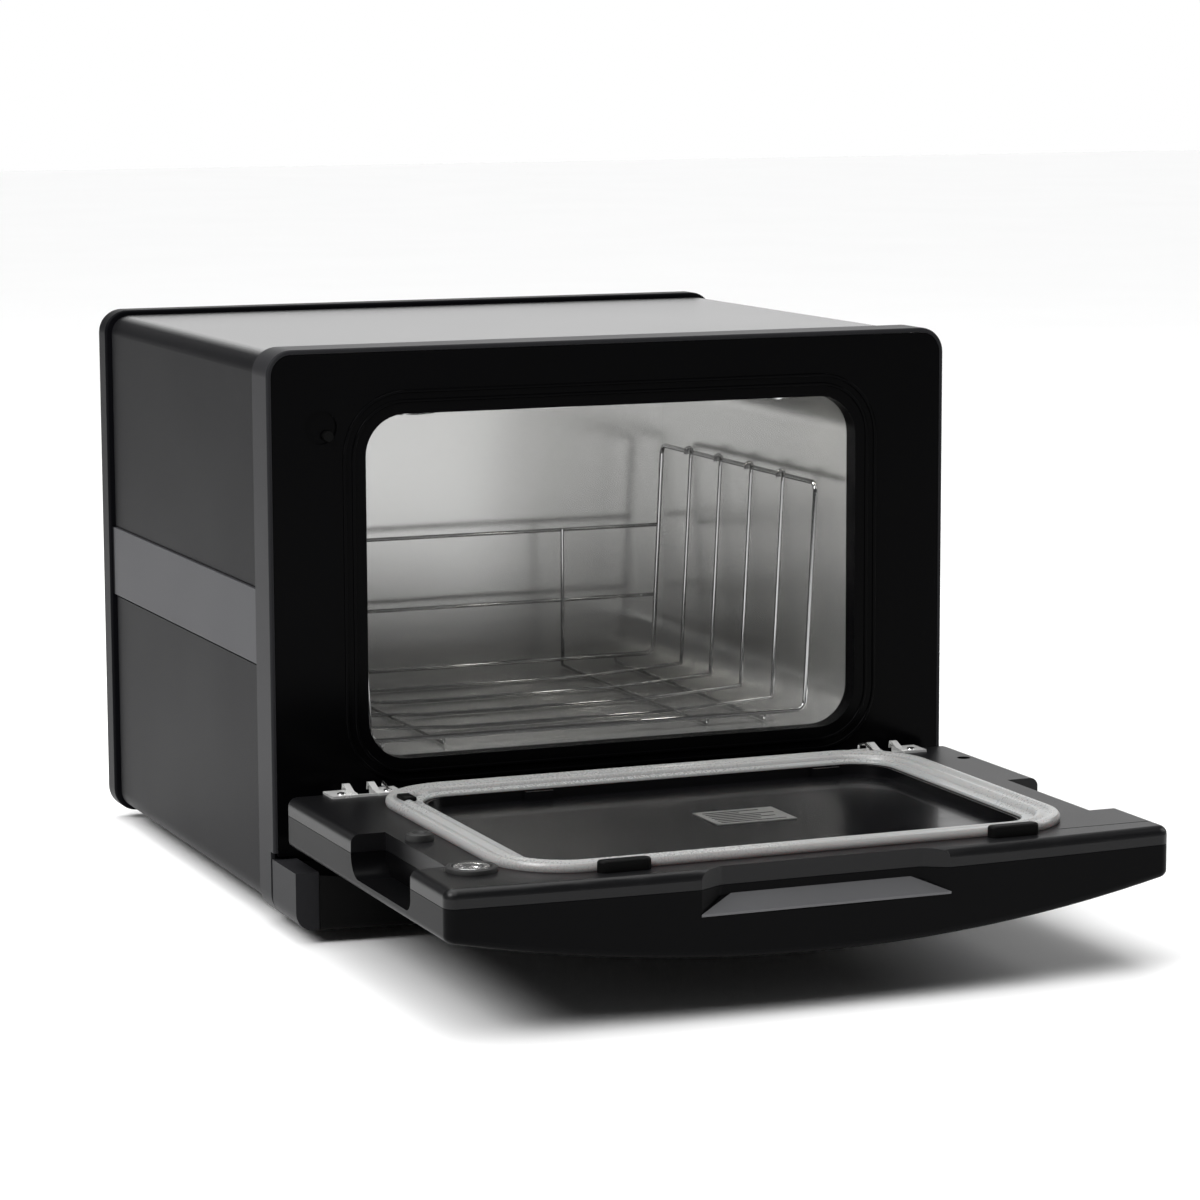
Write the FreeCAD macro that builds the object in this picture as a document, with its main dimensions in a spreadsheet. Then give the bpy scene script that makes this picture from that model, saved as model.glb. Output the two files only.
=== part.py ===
import FreeCAD, Part
import math
import os
import Sketcher
from FreeCAD import Placement, Rotation, Vector

# Countertop oven with a drop-down door, a wire basket and a pull-out drip tray.
# Frame: X to the oven's right, Y rearwards, Z up. The origin is on the floor,
# on the middle line, in the plane of the front bezel. The door is modelled open.

os.makedirs("parts", exist_ok=True)
doc = FreeCAD.newDocument("countertop_oven")
sheet = doc.addObject("Spreadsheet::Sheet", "Sizes")


# ---------------------------------------------------------------- driving sizes
class Size:
    """A length of the sheet: its value now, and the formula that keeps it current."""

    def __init__(self, value, text):
        self.value = float(value)
        self.text = text

    def join(self, sign, other, turned=False):
        other = as_size(other)
        left, right = (other, self) if turned else (self, other)
        results = {"+": left.value + right.value, "-": left.value - right.value,
                   "*": left.value * right.value,
                   "/": left.value / right.value if right.value else 0.0}
        return Size(results[sign], f"({left.text} {sign} {right.text})")

    def __add__(self, other):
        return self.join("+", other)

    def __radd__(self, other):
        return self.join("+", other, True)

    def __sub__(self, other):
        return self.join("-", other)

    def __rsub__(self, other):
        return self.join("-", other, True)

    def __mul__(self, other):
        return self.join("*", other)

    def __rmul__(self, other):
        return self.join("*", other, True)

    def __truediv__(self, other):
        return self.join("/", other)

    def __neg__(self):
        return self.join("-", 0.0, True)


def as_size(length):
    return length if isinstance(length, Size) else Size(length, repr(float(length)))


def cell(size):
    """The plain number behind a size, for shapes that are worked out point by point."""
    return as_size(size).value


next_row = 1


def driving(alias, value, note):
    """Write one named size into the sheet, read it back and hand it on as a Size."""
    global next_row
    sheet.set(f"A{next_row}", note)
    sheet.set(f"B{next_row}", str(value))
    sheet.setAlias(f"B{next_row}", alias)
    sheet.recompute()
    next_row += 1
    return Size(sheet.get(alias), f"Sizes.{alias}")


# the case
case_width = driving("case_width", 430, "width over the bezel")
case_height = driving("case_height", 331, "height of the case without its feet")
case_depth = driving("case_depth", 369, "bezel face to back of the rear frame")
foot_rise = driving("foot_rise", 6, "height of the rubber feet")
foot_radius = driving("foot_radius", 12, "radius of the rubber feet")
foot_inset = driving("foot_inset", 50, "side of the case to a foot's centre")
foot_setback = driving("foot_setback", 62, "front or back of the case to a foot's centre")
corner = driving("corner_radius", 15, "outer corner radius of bezel and rear frame")
bezel_depth = driving("bezel_depth", 28, "depth of the bezel ring")
frame_depth = driving("frame_depth", 18, "depth of the rear frame ring")
rear_groove = driving("rear_groove", 5.5, "dark groove between the wraps and the rear frame")
edge_round = driving("edge_round", 1.6, "rounding of the bezel's and the frame's edges")
back_round = driving("back_round", 3, "rounding of the rear frame's back edge")
plastic = driving("plastic_wall", 2.5, "wall of the moulded parts")
sheet_wall = driving("sheet_wall", 1.2, "wall of the wraps and the pans")
wrap_inset = driving("wrap_inset", 3, "how far the wraps lie inside the bezel outline")
joint_gap = driving("joint_gap", 0.3, "gap between neighbouring parts of the case")
arm_up = driving("arm_up", 146, "case bottom to the side arm's lower edge")
arm_rise = driving("arm_rise", 44, "height of the side arm")
arm_proud = driving("arm_proud", 1.2, "how far the side arm stands off the wraps")
arm_groove = driving("arm_groove", 1.4, "groove above and below the side arm")
arm_tuck = driving("arm_tuck", 5, "how far the arm's flange reaches behind the wraps")
cover_setback = driving("cover_setback", 8, "back of the case to the rear cover")
cover_margin = driving("cover_margin", 8, "bezel outline to the opening of the rear frame")
vent_length = driving("vent_length", 130, "length of a vent slot")
vent_rise = driving("vent_rise", 5, "height of a vent slot")
vent_pitch = driving("vent_pitch", 12, "step from one vent slot to the next")
vent_apart = driving("vent_apart", 40, "gap between the two columns of vents")
vent_down = driving("vent_down", 150, "top of the case to the lowest vent slot")
gland_radius = driving("gland_radius", 9, "radius of the cord gland's hole")
gland_inset = driving("gland_inset", 65, "side of the case to the cord gland")
gland_up = driving("gland_up", 40, "case bottom to the cord gland")
base_inset = driving("base_inset", 24, "side of the case to the base pan")
base_rise = driving("base_rise", 20, "height of the base pan's edges")
# the front panel and the cavity
lip = driving("bezel_lip", 2.6, "bezel lip seen round the front panel")
panel_wall = driving("panel_wall", 3, "thickness of the front panel")
side_margin = driving("side_margin", 59, "side of the case to the mouth")
top_margin = driving("top_margin", 39, "top of the case to the mouth")
low_margin = driving("low_margin", 90, "bottom of the case to the mouth")
mouth_radius = driving("mouth_radius", 24, "corner radius of the mouth")
collar = driving("collar_depth", 12, "depth of the black collar behind the mouth")
ridge_wide = driving("ridge_width", 2, "width of the raised ridges round the mouth")
ridge_proud = driving("ridge_proud", 1, "how far the ridges stand out")
ridge_round = driving("ridge_round", 0.6, "rounding of the ridges")
ridge_first = driving("ridge_first", 7.5, "mouth to the middle of the first ridge")
ridge_step = driving("ridge_step", 5.5, "first ridge to second ridge")
rear_margin = driving("rear_margin", 71, "back of the case to the cavity's back wall")
steel = driving("cavity_steel", 1, "wall of the steel cavity")
flange_wide = driving("flange_width", 11, "width of the cavity's front flange")
blanket_wall = driving("blanket_wall", 12, "thickness of the insulation")
blanket_start = driving("blanket_start", 21, "bezel face to the insulation's front")
blanket_gap = driving("blanket_gap", 0.5, "cavity to insulation")
bracket_inset = driving("bracket_inset", 46, "side of the mouth to a cavity bracket")
bracket_width = driving("bracket_width", 24, "width of a cavity bracket")
bracket_wall = driving("bracket_wall", 2, "thickness of a cavity bracket")
bracket_front = driving("bracket_front", 70, "bezel face to the front brackets")
bracket_rear = driving("bracket_rear", 30, "cavity's back wall to the rear brackets")
# fan, heater and lamps in the cavity's roof
fan_setback = driving("fan_setback", 118, "cavity's back wall to the fan's axis")
fan_opening = driving("fan_opening", 60, "radius of the fan's opening in the roof")
housing_rise = driving("housing_rise", 17, "height of the fan housing")
shaft_radius = driving("shaft_radius", 2.5, "radius of the fan's shaft")
shaft_length = driving("shaft_length", 26, "length of the fan's shaft")
press = driving("press_gap", 0.02, "radial play between shaft and fan hub")
running = driving("running_gap", 0.05, "radial clearance of a turning fit")
hub_radius = driving("hub_radius", 9, "radius of the fan's hub")
blade_rise = driving("blade_rise", 9, "height of the fan's blades")
blade_clear = driving("blade_clear", 10, "fan disc to the rim of its opening")
motor_radius = driving("motor_radius", 30, "radius of the fan motor")
motor_rise = driving("motor_rise", 12, "height of the fan motor")
motor_foot = driving("motor_foot", 42, "fan axis to the end of a motor foot")
heater_radius = driving("heater_radius", 3.3, "radius of the heater's sheath")
heater_out = driving("heater_out", 8, "rim of the fan opening to the heater ring")
heater_down = driving("heater_down", 6, "cavity roof to the heater ring")
guard_out = driving("guard_out", 17, "rim of the fan opening to the guard's edge")
guard_down = driving("guard_down", 11, "cavity roof to the guard")
guard_wall = driving("guard_wall", 1, "thickness of the guard")
post_radius = driving("post_radius", 2.5, "radius of the guard's posts")
lamp_radius = driving("lamp_radius", 15, "radius of a lamp cover")
lamp_wall = driving("lamp_wall", 2.4, "thickness of a lamp cover")
lamp_setback = driving("lamp_setback", 28, "collar to a lamp's centre")
# door switch
switch_out = driving("switch_out", 27, "side of the mouth to the switch recess")
switch_down = driving("switch_down", 6, "top of the mouth to the switch recess")
dish_radius = driving("dish_radius", 9.7, "radius of the switch recess")
dish_depth = driving("dish_depth", 1.6, "depth of the switch recess")
plunger_radius = driving("plunger_radius", 3, "radius of the switch plunger")
plunger_right = driving("plunger_right", 4, "recess centre to the plunger, sideways")
plunger_down = driving("plunger_down", 5, "recess centre to the plunger, down")
plunger_proud = driving("plunger_proud", 2.2, "how far the plunger stands out")
plunger_length = driving("plunger_length", 12, "length of the plunger")
plunger_play = driving("plunger_play", 0.3, "radial play of the plunger")
switch_half = driving("switch_half", 7, "half width of the switch body")
switch_depth = driving("switch_depth", 17, "depth of the switch body")
# the door
pivot_out = driving("pivot_out", 20.5, "hinge axis in front of the bezel face")
pivot_up = driving("pivot_up", 68, "hinge axis above the floor")
door_side_gap = driving("door_side_gap", 3, "side of the case to the door's side")
door_top_gap = driving("door_top_gap", 3.5, "closed door's edge below the case top")
door_rear = driving("door_rear", 14, "bezel face to the open door's rear edge")
door_crown = driving("door_crown", 8, "how far the door's free edge bows out")
door_corner = driving("door_corner", 6.5, "corner radius of the door in plan")
door_edge = driving("door_edge", 5, "rounding of the liner's upper edge")
shell_edge = driving("shell_edge", 4, "rounding of the shell's lower edges")
face_gap = driving("face_gap", 6.5, "gap from panel to door liner when closed")
liner_rise = driving("liner_rise", 10, "height of the door liner's skirt")
shell_rise = driving("shell_rise", 18, "height of the door shell's flat sides")
door_belly = driving("door_belly", 21.5, "how far the outer face bows below the sides")
door_frame = driving("door_frame", 14, "free edge to the hollow of the door")
door_spine = driving("door_spine", 22, "rear edge to the hollow of the door")
door_cheek = driving("door_cheek", 6, "grip to the hollow of the door")
seal_over = driving("seal_over", 13, "how far the seal reaches beyond the mouth's sides")
seal_under = driving("seal_under", 20.5, "how far the seal reaches below the mouth")
seal_above = driving("seal_above", 21.5, "how far the seal reaches above the mouth")
seal_band = driving("seal_band", 15, "width of the seal's lip")
seal_rise = driving("seal_rise", 5, "height of the seal over the liner")
seal_radius = driving("seal_radius", 45, "outer corner radius of the seal")
seal_round = driving("seal_round", 2, "rounding of the seal's lip")
flange_rise = driving("flange_rise", 1.6, "thickness of the seal's inner flange")
flange_in = driving("flange_inner", 7, "seal lip to the edge of the pan")
pan_deep = driving("pan_depth", 6, "depth of the pan inside the seal")
pan_wall = driving("pan_wall", 1.6, "wall of the pan")
pan_radius = driving("pan_radius", 26, "corner radius of the pan")
clip_long = driving("clip_length", 30, "length of a seal clip")
clip_half = driving("clip_half", 4, "half width of a seal clip")
clip_rise = driving("clip_rise", 6.4, "height of a seal clip over the liner")
clip_left = driving("clip_left", 45, "side of the seal to the left clip")
clip_right = driving("clip_right", 34, "side of the seal to the right clip")
clip_bite = driving("clip_bite", 2.6, "seal's front edge to the clip's middle line")
strike_radius = driving("strike_radius", 14, "outer radius of the strike's rubber ring")
strike_inner = driving("strike_inner", 10.6, "inner radius of the strike's rubber ring")
strike_rise = driving("strike_rise", 2.6, "height of the strike over the liner")
bumper_radius = driving("bumper_radius", 7.8, "radius of the rubber bumper")
bumper_rise = driving("bumper_rise", 4.5, "height of the rubber bumper")
bumper_back = driving("bumper_back", 126, "free edge to the rubber bumper")
label_width = driving("label_width", 49, "width of the rating label")
label_deep = driving("label_depth", 36, "depth of the rating label")
label_right = driving("label_right", 19, "middle line to the label's centre")
label_back = driving("label_back", 7.5, "pan's middle to the label's centre")
label_wall = driving("label_wall", 0.6, "thickness of the rating label")
grip_depth = driving("grip_depth", 20, "depth of the grips in the door's sides")
grip_floor = driving("grip_floor", 23, "liner face to the grips' floor")
grip_near = driving("grip_near", 154, "free edge to a grip's rear end")
grip_far = driving("grip_far", 56, "free edge to a grip's front end")
grip_round = driving("grip_round", 12, "rounding of a grip's rear lower corner")
notch_half = driving("notch_half", 58.3, "half width of the handle notch's back")
notch_flare = driving("notch_flare", 17.7, "how much wider the notch is at the front")
notch_down = driving("notch_down", 16.2, "liner face to the notch's inner edge")
notch_slope = driving("notch_slope", 10, "fall of the notch's floor to the front")
notch_round = driving("notch_round", 5, "rounding of the notch's upper corners")
trim_wall = driving("trim_wall", 1.4, "thickness of the handle trim")
lens_half = driving("lens_half", 62, "half width of the display lens")
lens_near = driving("lens_near", 126, "free edge to the display lens's far side")
lens_far = driving("lens_far", 96, "free edge to the display lens's near side")
lens_wall = driving("lens_wall", 1.6, "thickness of the display lens")
drain_radius = driving("drain_radius", 4, "radius of the hole in the liner's corner")
drain_in = driving("drain_in", 11, "door's side to the hole in the liner")
drain_out = driving("drain_out", 45, "door's rear edge to the hole in the liner")
score_deep = driving("score_depth", 1.2, "depth of the scored line beside the seal")
score_far = driving("score_far", 17, "free edge to the scored line")
# hinges
hinge_past = driving("hinge_past", 12, "side of the mouth to a hinge's middle")
pin_radius = driving("pin_radius", 3, "radius of the hinge pins")
pin_length = driving("pin_length", 20, "length of the hinge pins")
tongue_half = driving("tongue_half", 5, "half width of the hinge tongue")
boss_wall = driving("boss_wall", 3, "metal round the hinge pin")
hinge_sheet = driving("hinge_sheet", 3, "thickness of the hinge channel's cheeks")
plate_wall = driving("plate_wall", 1.4, "thickness of the hinge channel's wings")
wing_deep = driving("wing_depth", 18.5, "door's rear edge to the front of the wings")
screw_radius = driving("screw_radius", 2.6, "radius of a hinge screw's head")
screw_rise = driving("screw_rise", 1.2, "height of a hinge screw's head")
# basket
basket_clear = driving("basket_clear", 8, "side of the mouth to the basket's top wires")
basket_shift = driving("basket_shift", -4, "basket's middle from the oven's middle line")
basket_taper = driving("basket_taper", 7, "how much each side leans in to the floor")
basket_front = driving("basket_front", 30, "bezel face to the basket's front wire")
basket_back = driving("basket_back", 26, "cavity's back wall to the basket's rear wire")
basket_stand = driving("basket_stand", 6.3, "mouth's lower edge to the basket's frame")
basket_head = driving("basket_head", 55.7, "mouth's upper edge to the basket's top wires")
wire = driving("wire_thickness", 3, "diameter of the basket's frame wires")
thin_wire = driving("thin_wire", 2.4, "diameter of the basket's hoops and rails")
runner_wire = driving("runner_wire", 2, "diameter of the basket's runners")
wire_bend = driving("wire_bend", 7, "radius of the wires' bends")
hoop_sag = driving("hoop_sag", 4.5, "how far the hoops' floors hang through")
runner_right = driving("runner_right", 27, "right floor bend to the outer right runner")
runner_left = driving("runner_left", 7.5, "left floor bend to the outer left runner")
runner_gap = driving("runner_gap", 38.5, "gap between the two runners of a pair")
# drip tray
tray_low = driving("tray_low", 8, "height of the drip tray's underside")
tray_clear = driving("tray_clear", 3.5, "door's bowed face to the tray's middle")
cap_clear = driving("cap_clear", 12, "door's flat side to the tray's end caps")
tray_out = driving("tray_out", 40, "bezel face to the front of the end caps")
tray_crown = driving("tray_crown", 14, "how far the tray's front bows out")
tray_step = driving("tray_step", 2, "end caps' front to the tray's front")
tray_back = driving("tray_back", 4, "how far the tray runs in behind the bezel face")
tray_gap = driving("tray_gap", 2, "play round the tray in bezel and panel")
tray_round = driving("tray_round", 3, "rounding of the tray's lower front edge")
cap_width = driving("cap_width", 14, "width of the tray's end caps")
cap_round = driving("cap_round", 11, "rounding of the end caps' lower corners")
# boards
board_wall = driving("board_wall", 1.6, "thickness of a circuit board")
board_inset = driving("board_inset", 26, "side of the case to the power board")
board_up = driving("board_up", 60, "case bottom to the power board")
board_front = driving("board_front", 90, "bezel face to the power board")
board_rear = driving("board_rear", 75, "rear of the wraps to the power board")
board_clear = driving("board_clear", 5, "side arm's flange to the power board")
# small fits and inner parts
touch = driving("touching_gap", 0.1, "gap between parts that stand on one another")
rail_inset = driving("rail_inset", 8.5, "bezel lip to the end of the lower rail")
rail_up = driving("rail_up", 4, "case bottom to the lower rail")
slot_half = driving("slot_half", 7.5, "half width of a hinge slot in the panel")
slot_rise = driving("slot_rise", 9, "half height of a hinge slot in the panel")
spigot_wall = driving("spigot_wall", 1.5, "thickness of the rear frame's spigot")
spigot_tuck = driving("spigot_tuck", 6, "how far the spigot reaches inside the wraps")
arm_flange = driving("arm_flange", 2.5, "thickness of the arm's inner flange")
arm_root = driving("arm_root", 4, "how far the arms run into the rear frame")
vent_left = driving("vent_left", 0, "middle line of the cover to the vents' middle")
base_gap = driving("base_gap", 2, "wraps' front and rear edges to the base pan")
gland_tail = driving("gland_tail", 6, "how far the gland's neck reaches inside")
gland_play = driving("gland_play", 0.2, "radial play of the gland in its hole")
gland_rim = driving("gland_rim", 3, "how far the gland's head laps over its hole")
gland_head = driving("gland_head", 2.4, "thickness of the gland's head")
housing_wall = driving("housing_wall", 1.2, "wall of the fan housing")
housing_rim = driving("housing_rim", 1.8, "rim of the fan opening to the housing")
housing_bore = driving("housing_bore", 6, "radius of the housing's shaft hole")
fan_up = driving("fan_up", 2, "cavity roof to the fan's disc")
hub_rise = driving("hub_rise", 6, "height of the fan's hub")
blade_short = driving("blade_short", 4, "disc's edge to the blades' ends")
shaft_below = driving("shaft_below", 4, "how far the shaft reaches below the disc")
heater_leg = driving("heater_leg", 12, "middle line to a heater leg")
guard_inner = driving("guard_inner", 21, "guard's middle to its inner holes")
guard_small = driving("guard_small", 4, "radius of the guard's inner holes")
guard_outer = driving("guard_outer", 12, "rim of the fan opening to the outer holes")
guard_large = driving("guard_large", 10.5, "radius of the guard's outer holes")
lamp_clear = driving("lamp_clear", 1.5, "start of the roof's rounding to a lamp cover")
plunger_flange = driving("plunger_flange", 1.6, "how far the plunger's collar stands out")
plunger_rim = driving("plunger_rim", 1.4, "thickness of the plunger's collar")
switch_tall = driving("switch_tall", 12, "half height of the switch body")
switch_bore = driving("switch_bore", 9, "depth of the bore for the plunger's collar")
board_rise = driving("board_rise", 130, "height of the power board")
part_deep = driving("part_depth", 12, "how far the board's parts stand off")
part_first = driving("part_first", 12, "board's front or rear to the nearest part")
part_long = driving("part_length", 22, "length of a part on the board")
part_up = driving("part_up", 20, "board's lower edge to its parts")
part_tall = driving("part_height", 24, "height of a part on the board")
spacer_radius = driving("spacer_radius", 3, "radius of the board's spacers")
spacer_in = driving("spacer_in", 8, "board's edge to a spacer")
terminal_half = driving("terminal_half", 20, "half width of the terminal block")
terminal_long = driving("terminal_length", 24, "length of the terminal block")
terminal_below = driving("terminal_below", 2, "cord gland to the terminal block")
# inner parts of the door
tongue_rise = driving("tongue_rise", 6, "half height of the hinge tongue")
foot_half = driving("foot_half", 12, "half width of the hinge bracket's foot")
foot_tall = driving("foot_tall", 16, "half height of the hinge bracket's foot")
foot_wall = driving("foot_wall", 2, "thickness of the hinge bracket's foot")
cheek_out = driving("cheek_out", 8, "hinge's middle to the middle of a cheek")
wing_half = driving("wing_half", 7.5, "half width of a hinge channel's wing")
wing_out = driving("wing_out", 14, "hinge's middle to the middle of a wing")
edge_gap = driving("edge_gap", 0.8, "door's rear edge to the hinge channel")
room_half = driving("room_half", 11, "half width of the hinge's room in the door")
room_deep = driving("room_depth", 18, "depth of the hinge's room from the rear edge")
room_rise = driving("room_rise", 26, "height of the hinge's room below the liner face")
screw_in = driving("screw_in", 12, "door's rear edge to a hinge screw")
pan_near_in = driving("pan_rear_margin", 5, "seal's lip to the pan's rear edge")
pan_far_in = driving("pan_front_margin", 4, "seal's lip to the pan's front edge")
seal_dish = driving("seal_dish", 1.6, "depth of the seal's rear step")
seal_step_left = driving("seal_step_left", 26, "middle line to the step's left end")
seal_step_right = driving("seal_step_right", 72, "middle line to the step's right end")
rib_long = driving("rib_length", 17, "length of a pan rib")
rib_wide = driving("rib_width", 4, "width of a pan rib")
rib_left = driving("rib_left", 79, "middle line to the left pan rib")
rib_right = driving("rib_right", 104, "middle line to the right pan rib")
strike_plate_rise = driving("strike_plate", 2.2, "height of the strike's metal disc")
strike_step = driving("strike_step", 6.4, "outer radius of the groove in the disc")
strike_core = driving("strike_core", 5, "inner radius of the groove in the disc")
bumper_in = driving("bumper_in", 30, "door's side to the bumper's middle")
bumper_edge = driving("bumper_edge", 1, "rounding of the bumper")
wool_in = driving("wool_in", 18, "door's hollow to the side of its insulation")
wool_far = driving("wool_far", 28, "free edge to the door's insulation")
wool_near = driving("wool_near", 32, "rear edge to the door's insulation")
wool_rise = driving("wool_rise", 13.5, "thickness of the door's insulation")
touch_in = driving("touch_board_margin", 15, "display lens to the touch board's long edges")
touch_side = driving("touch_board_side", 8, "display lens to the touch board's ends")
touch_down = driving("touch_board_down", 20, "joint of liner and shell to the touch board")
trim_in = driving("trim_in", 0.6, "notch's side to the trim's back end")
trim_out = driving("trim_out", 3, "notch's side to the trim's front end")
trim_fall = driving("trim_fall", 8.3, "fall of the trim from back to front")
rail_first = driving("rail_first", 39.7, "basket's floor to the lower rear rail")
rail_second = driving("rail_second", 86.7, "basket's floor to the upper rear rail")
runner_drop = driving("runner_drop", 4.2, "basket's frame floor to the runners")
rail_bend = driving("rail_bend", 5, "radius of the top wires' bends")
floor_bend = driving("floor_bend", 150, "radius of the hoops' bends in the floor")

half = case_width / 2
case_low = foot_rise
case_top = foot_rise + case_height
frame_front = case_depth - frame_depth
wrap_rear = frame_front - rear_groove
wrap_face = half - wrap_inset
wrap_inside = wrap_face - sheet_wall
arm_low = case_low + arm_up
arm_top = arm_low + arm_rise
mouth_half = half - side_margin
mouth_low = case_low + low_margin
mouth_top = case_top - top_margin
cavity_depth = case_depth - rear_margin
face_up = pivot_up + pivot_out - face_gap          # the open door's inner face
parting = face_up - liner_rise                      # joint of liner and shell
shell_low = parting - shell_rise                    # lower end of the flat sides
tray_high = shell_low - door_belly - tray_clear
cap_high = shell_low - cap_clear
hinge_out = mouth_half + hinge_past
fan_place = cavity_depth - fan_setback

nodes = []


# ---------------------------------------------------------------- small helpers
def keep(item, label):
    """Name a finished sub-part; its name is also its file's name."""
    item.Label = label
    nodes.append(item)
    return item


def bind(item, place, size):
    item.setExpression(place, as_size(size).text)


def new_body(label):
    return keep(doc.addObject("PartDesign::Body", label + "_body"), label)


def origin_plane(body, role):
    return next(f for f in body.Origin.OriginFeatures if f.Role == role)


def new_sketch(body, role, offset):
    """A sketch on one of the body's origin planes, moved along the plane's normal."""
    sketch = body.newObject("Sketcher::SketchObject", "Sketch")
    sketch.AttachmentSupport = [(origin_plane(body, role), "")]
    sketch.MapMode = "FlatFace"
    bind(sketch, "AttachmentOffset.Base.z", offset)
    return sketch


def dimension(sketch, name, constraint, size):
    index = sketch.addConstraint(constraint)
    sketch.renameConstraint(index, name)
    sketch.setExpression("Constraints." + name, as_size(size).text)


def rounded_loop(sketch, tag, left, right, low, high, radius):
    """A closed rectangle with rounded corners, held by its four sides and its radius."""
    x0, x1, y0, y1, r = (cell(s) for s in (left, right, low, high, radius))
    turn = math.pi / 2
    corners = [(x1 - r, y1 - r, 0), (x0 + r, y1 - r, 1), (x0 + r, y0 + r, 2), (x1 - r, y0 + r, 3)]
    arcs = []
    for cx, cy, quarter in corners:
        circle = Part.Circle(Vector(cx, cy, 0), Vector(0, 0, 1), r)
        arc = Part.ArcOfCircle(circle, quarter * turn, (quarter + 1) * turn)
        arcs.append(sketch.addGeometry(arc, False))
    sides = []
    ends = [((x1 - r, y1), (x0 + r, y1)), ((x0, y1 - r), (x0, y0 + r)),
            ((x0 + r, y0), (x1 - r, y0)), ((x1, y0 + r), (x1, y1 - r))]
    for start, end in ends:
        line = Part.LineSegment(Vector(*start, 0), Vector(*end, 0))
        sides.append(sketch.addGeometry(line, False))
    for k in range(4):
        sketch.addConstraint(Sketcher.Constraint("Tangent", arcs[k], 2, sides[k], 1))
        sketch.addConstraint(Sketcher.Constraint("Tangent", sides[k], 2, arcs[(k + 1) % 4], 1))
    for k in (0, 2):
        sketch.addConstraint(Sketcher.Constraint("Horizontal", sides[k]))
        sketch.addConstraint(Sketcher.Constraint("Vertical", sides[k + 1]))
    for k in (1, 2, 3):
        sketch.addConstraint(Sketcher.Constraint("Equal", arcs[0], arcs[k]))
    dimension(sketch, tag + "_radius", Sketcher.Constraint("Radius", arcs[0], r), radius)
    walls = (("left", "DistanceX", sides[1], x0, left), ("right", "DistanceX", sides[3], x1, right),
             ("low", "DistanceY", sides[2], y0, low), ("high", "DistanceY", sides[0], y1, high))
    for side, kind, line, value, size in walls:
        held = Sketcher.Constraint(kind, -1, 1, line, 1, value)
        dimension(sketch, f"{tag}_{side}", held, size)


def polygon_loop(sketch, tag, points):
    """A closed outline of straight sides, each corner held by its two distances."""
    lines = []
    for k, point in enumerate(points):
        end = points[(k + 1) % len(points)]
        lines.append(sketch.addGeometry(Part.LineSegment(
            Vector(cell(point[0]), cell(point[1]), 0),
            Vector(cell(end[0]), cell(end[1]), 0)), False))
    for k, line in enumerate(lines):
        sketch.addConstraint(Sketcher.Constraint("Coincident", line, 2, lines[(k + 1) % len(lines)], 1))
    for k, (line, point) in enumerate(zip(lines, points)):
        for kind, size in (("DistanceX", point[0]), ("DistanceY", point[1])):
            held = Sketcher.Constraint(kind, -1, 1, line, 1, cell(size))
            dimension(sketch, f"{tag}_{k}_{kind[-1].lower()}", held, size)


def circle_loop(sketch, tag, x, y, radius):
    circle = Part.Circle(Vector(cell(x), cell(y), 0), Vector(0, 0, 1), cell(radius))
    ring = sketch.addGeometry(circle, False)
    dimension(sketch, tag + "_radius", Sketcher.Constraint("Radius", ring, cell(radius)), radius)
    for kind, size in (("DistanceX", x), ("DistanceY", y)):
        held = Sketcher.Constraint(kind, -1, 1, ring, 3, cell(size))
        dimension(sketch, f"{tag}_{kind[-1].lower()}", held, size)


def pad(body, sketch, length, backwards=False):
    feature = body.newObject("PartDesign::Pad", "Pad")
    feature.Profile = sketch
    bind(feature, "Length", length)
    feature.Reversed = backwards
    doc.recompute()
    return feature


def pocket(body, sketch, length, backwards=False):
    """Cut a sketch away, and make sure that something was cut."""
    before = body.Shape.Volume
    feature = body.newObject("PartDesign::Pocket", "Pocket")
    feature.Profile = sketch
    bind(feature, "Length", length)
    feature.Reversed = backwards
    doc.recompute()
    if body.Shape.Volume > before - 1e-6:
        raise RuntimeError(f"{body.Label}: a pocket cuts nothing")
    return feature


def soften(body, radius, chosen):
    """Round the edges of the body's last feature for which chosen(edge) holds."""
    feature = body.Tip
    names = [f"Edge{k + 1}" for k, edge in enumerate(feature.Shape.Edges) if chosen(edge)]
    fillet = body.newObject("PartDesign::Fillet", "Fillet")
    fillet.Base = (feature, names)
    bind(fillet, "Radius", radius)
    doc.recompute()
    return fillet


def spans(edge, axis, least):
    """True for an edge that runs along an axis for at least a length."""
    box = edge.BoundBox
    return (box.XLength, box.YLength, box.ZLength)["XYZ".index(axis)] >= least


def lies_at(edge, axis, value, play=0.05):
    """True for an edge that lies in one plane across an axis."""
    box = edge.BoundBox
    low = (box.XMin, box.YMin, box.ZMin)["XYZ".index(axis)]
    high = (box.XMax, box.YMax, box.ZMax)["XYZ".index(axis)]
    return abs(low - value) < play and abs(high - value) < play


def place(item, x, y, z, rotation=None):
    if rotation is not None:
        item.Placement = Placement(Vector(0, 0, 0), rotation)
    for axis, size in (("x", x), ("y", y), ("z", z)):
        bind(item, "Placement.Base." + axis, size)
    return item


def block(name, x0, x1, y0, y1, z0, z1):
    item = doc.addObject("Part::Box", name)
    x0, x1, y0, y1, z0, z1 = (as_size(s) for s in (x0, x1, y0, y1, z0, z1))
    bind(item, "Length", x1 - x0)
    bind(item, "Width", y1 - y0)
    bind(item, "Height", z1 - z0)
    return place(item, x0, y0, z0)


ALONG_X = Rotation(Vector(0, 1, 0), 90)
ALONG_Y = Rotation(Vector(1, 0, 0), -90)
ALONG_Z = Rotation()


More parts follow.
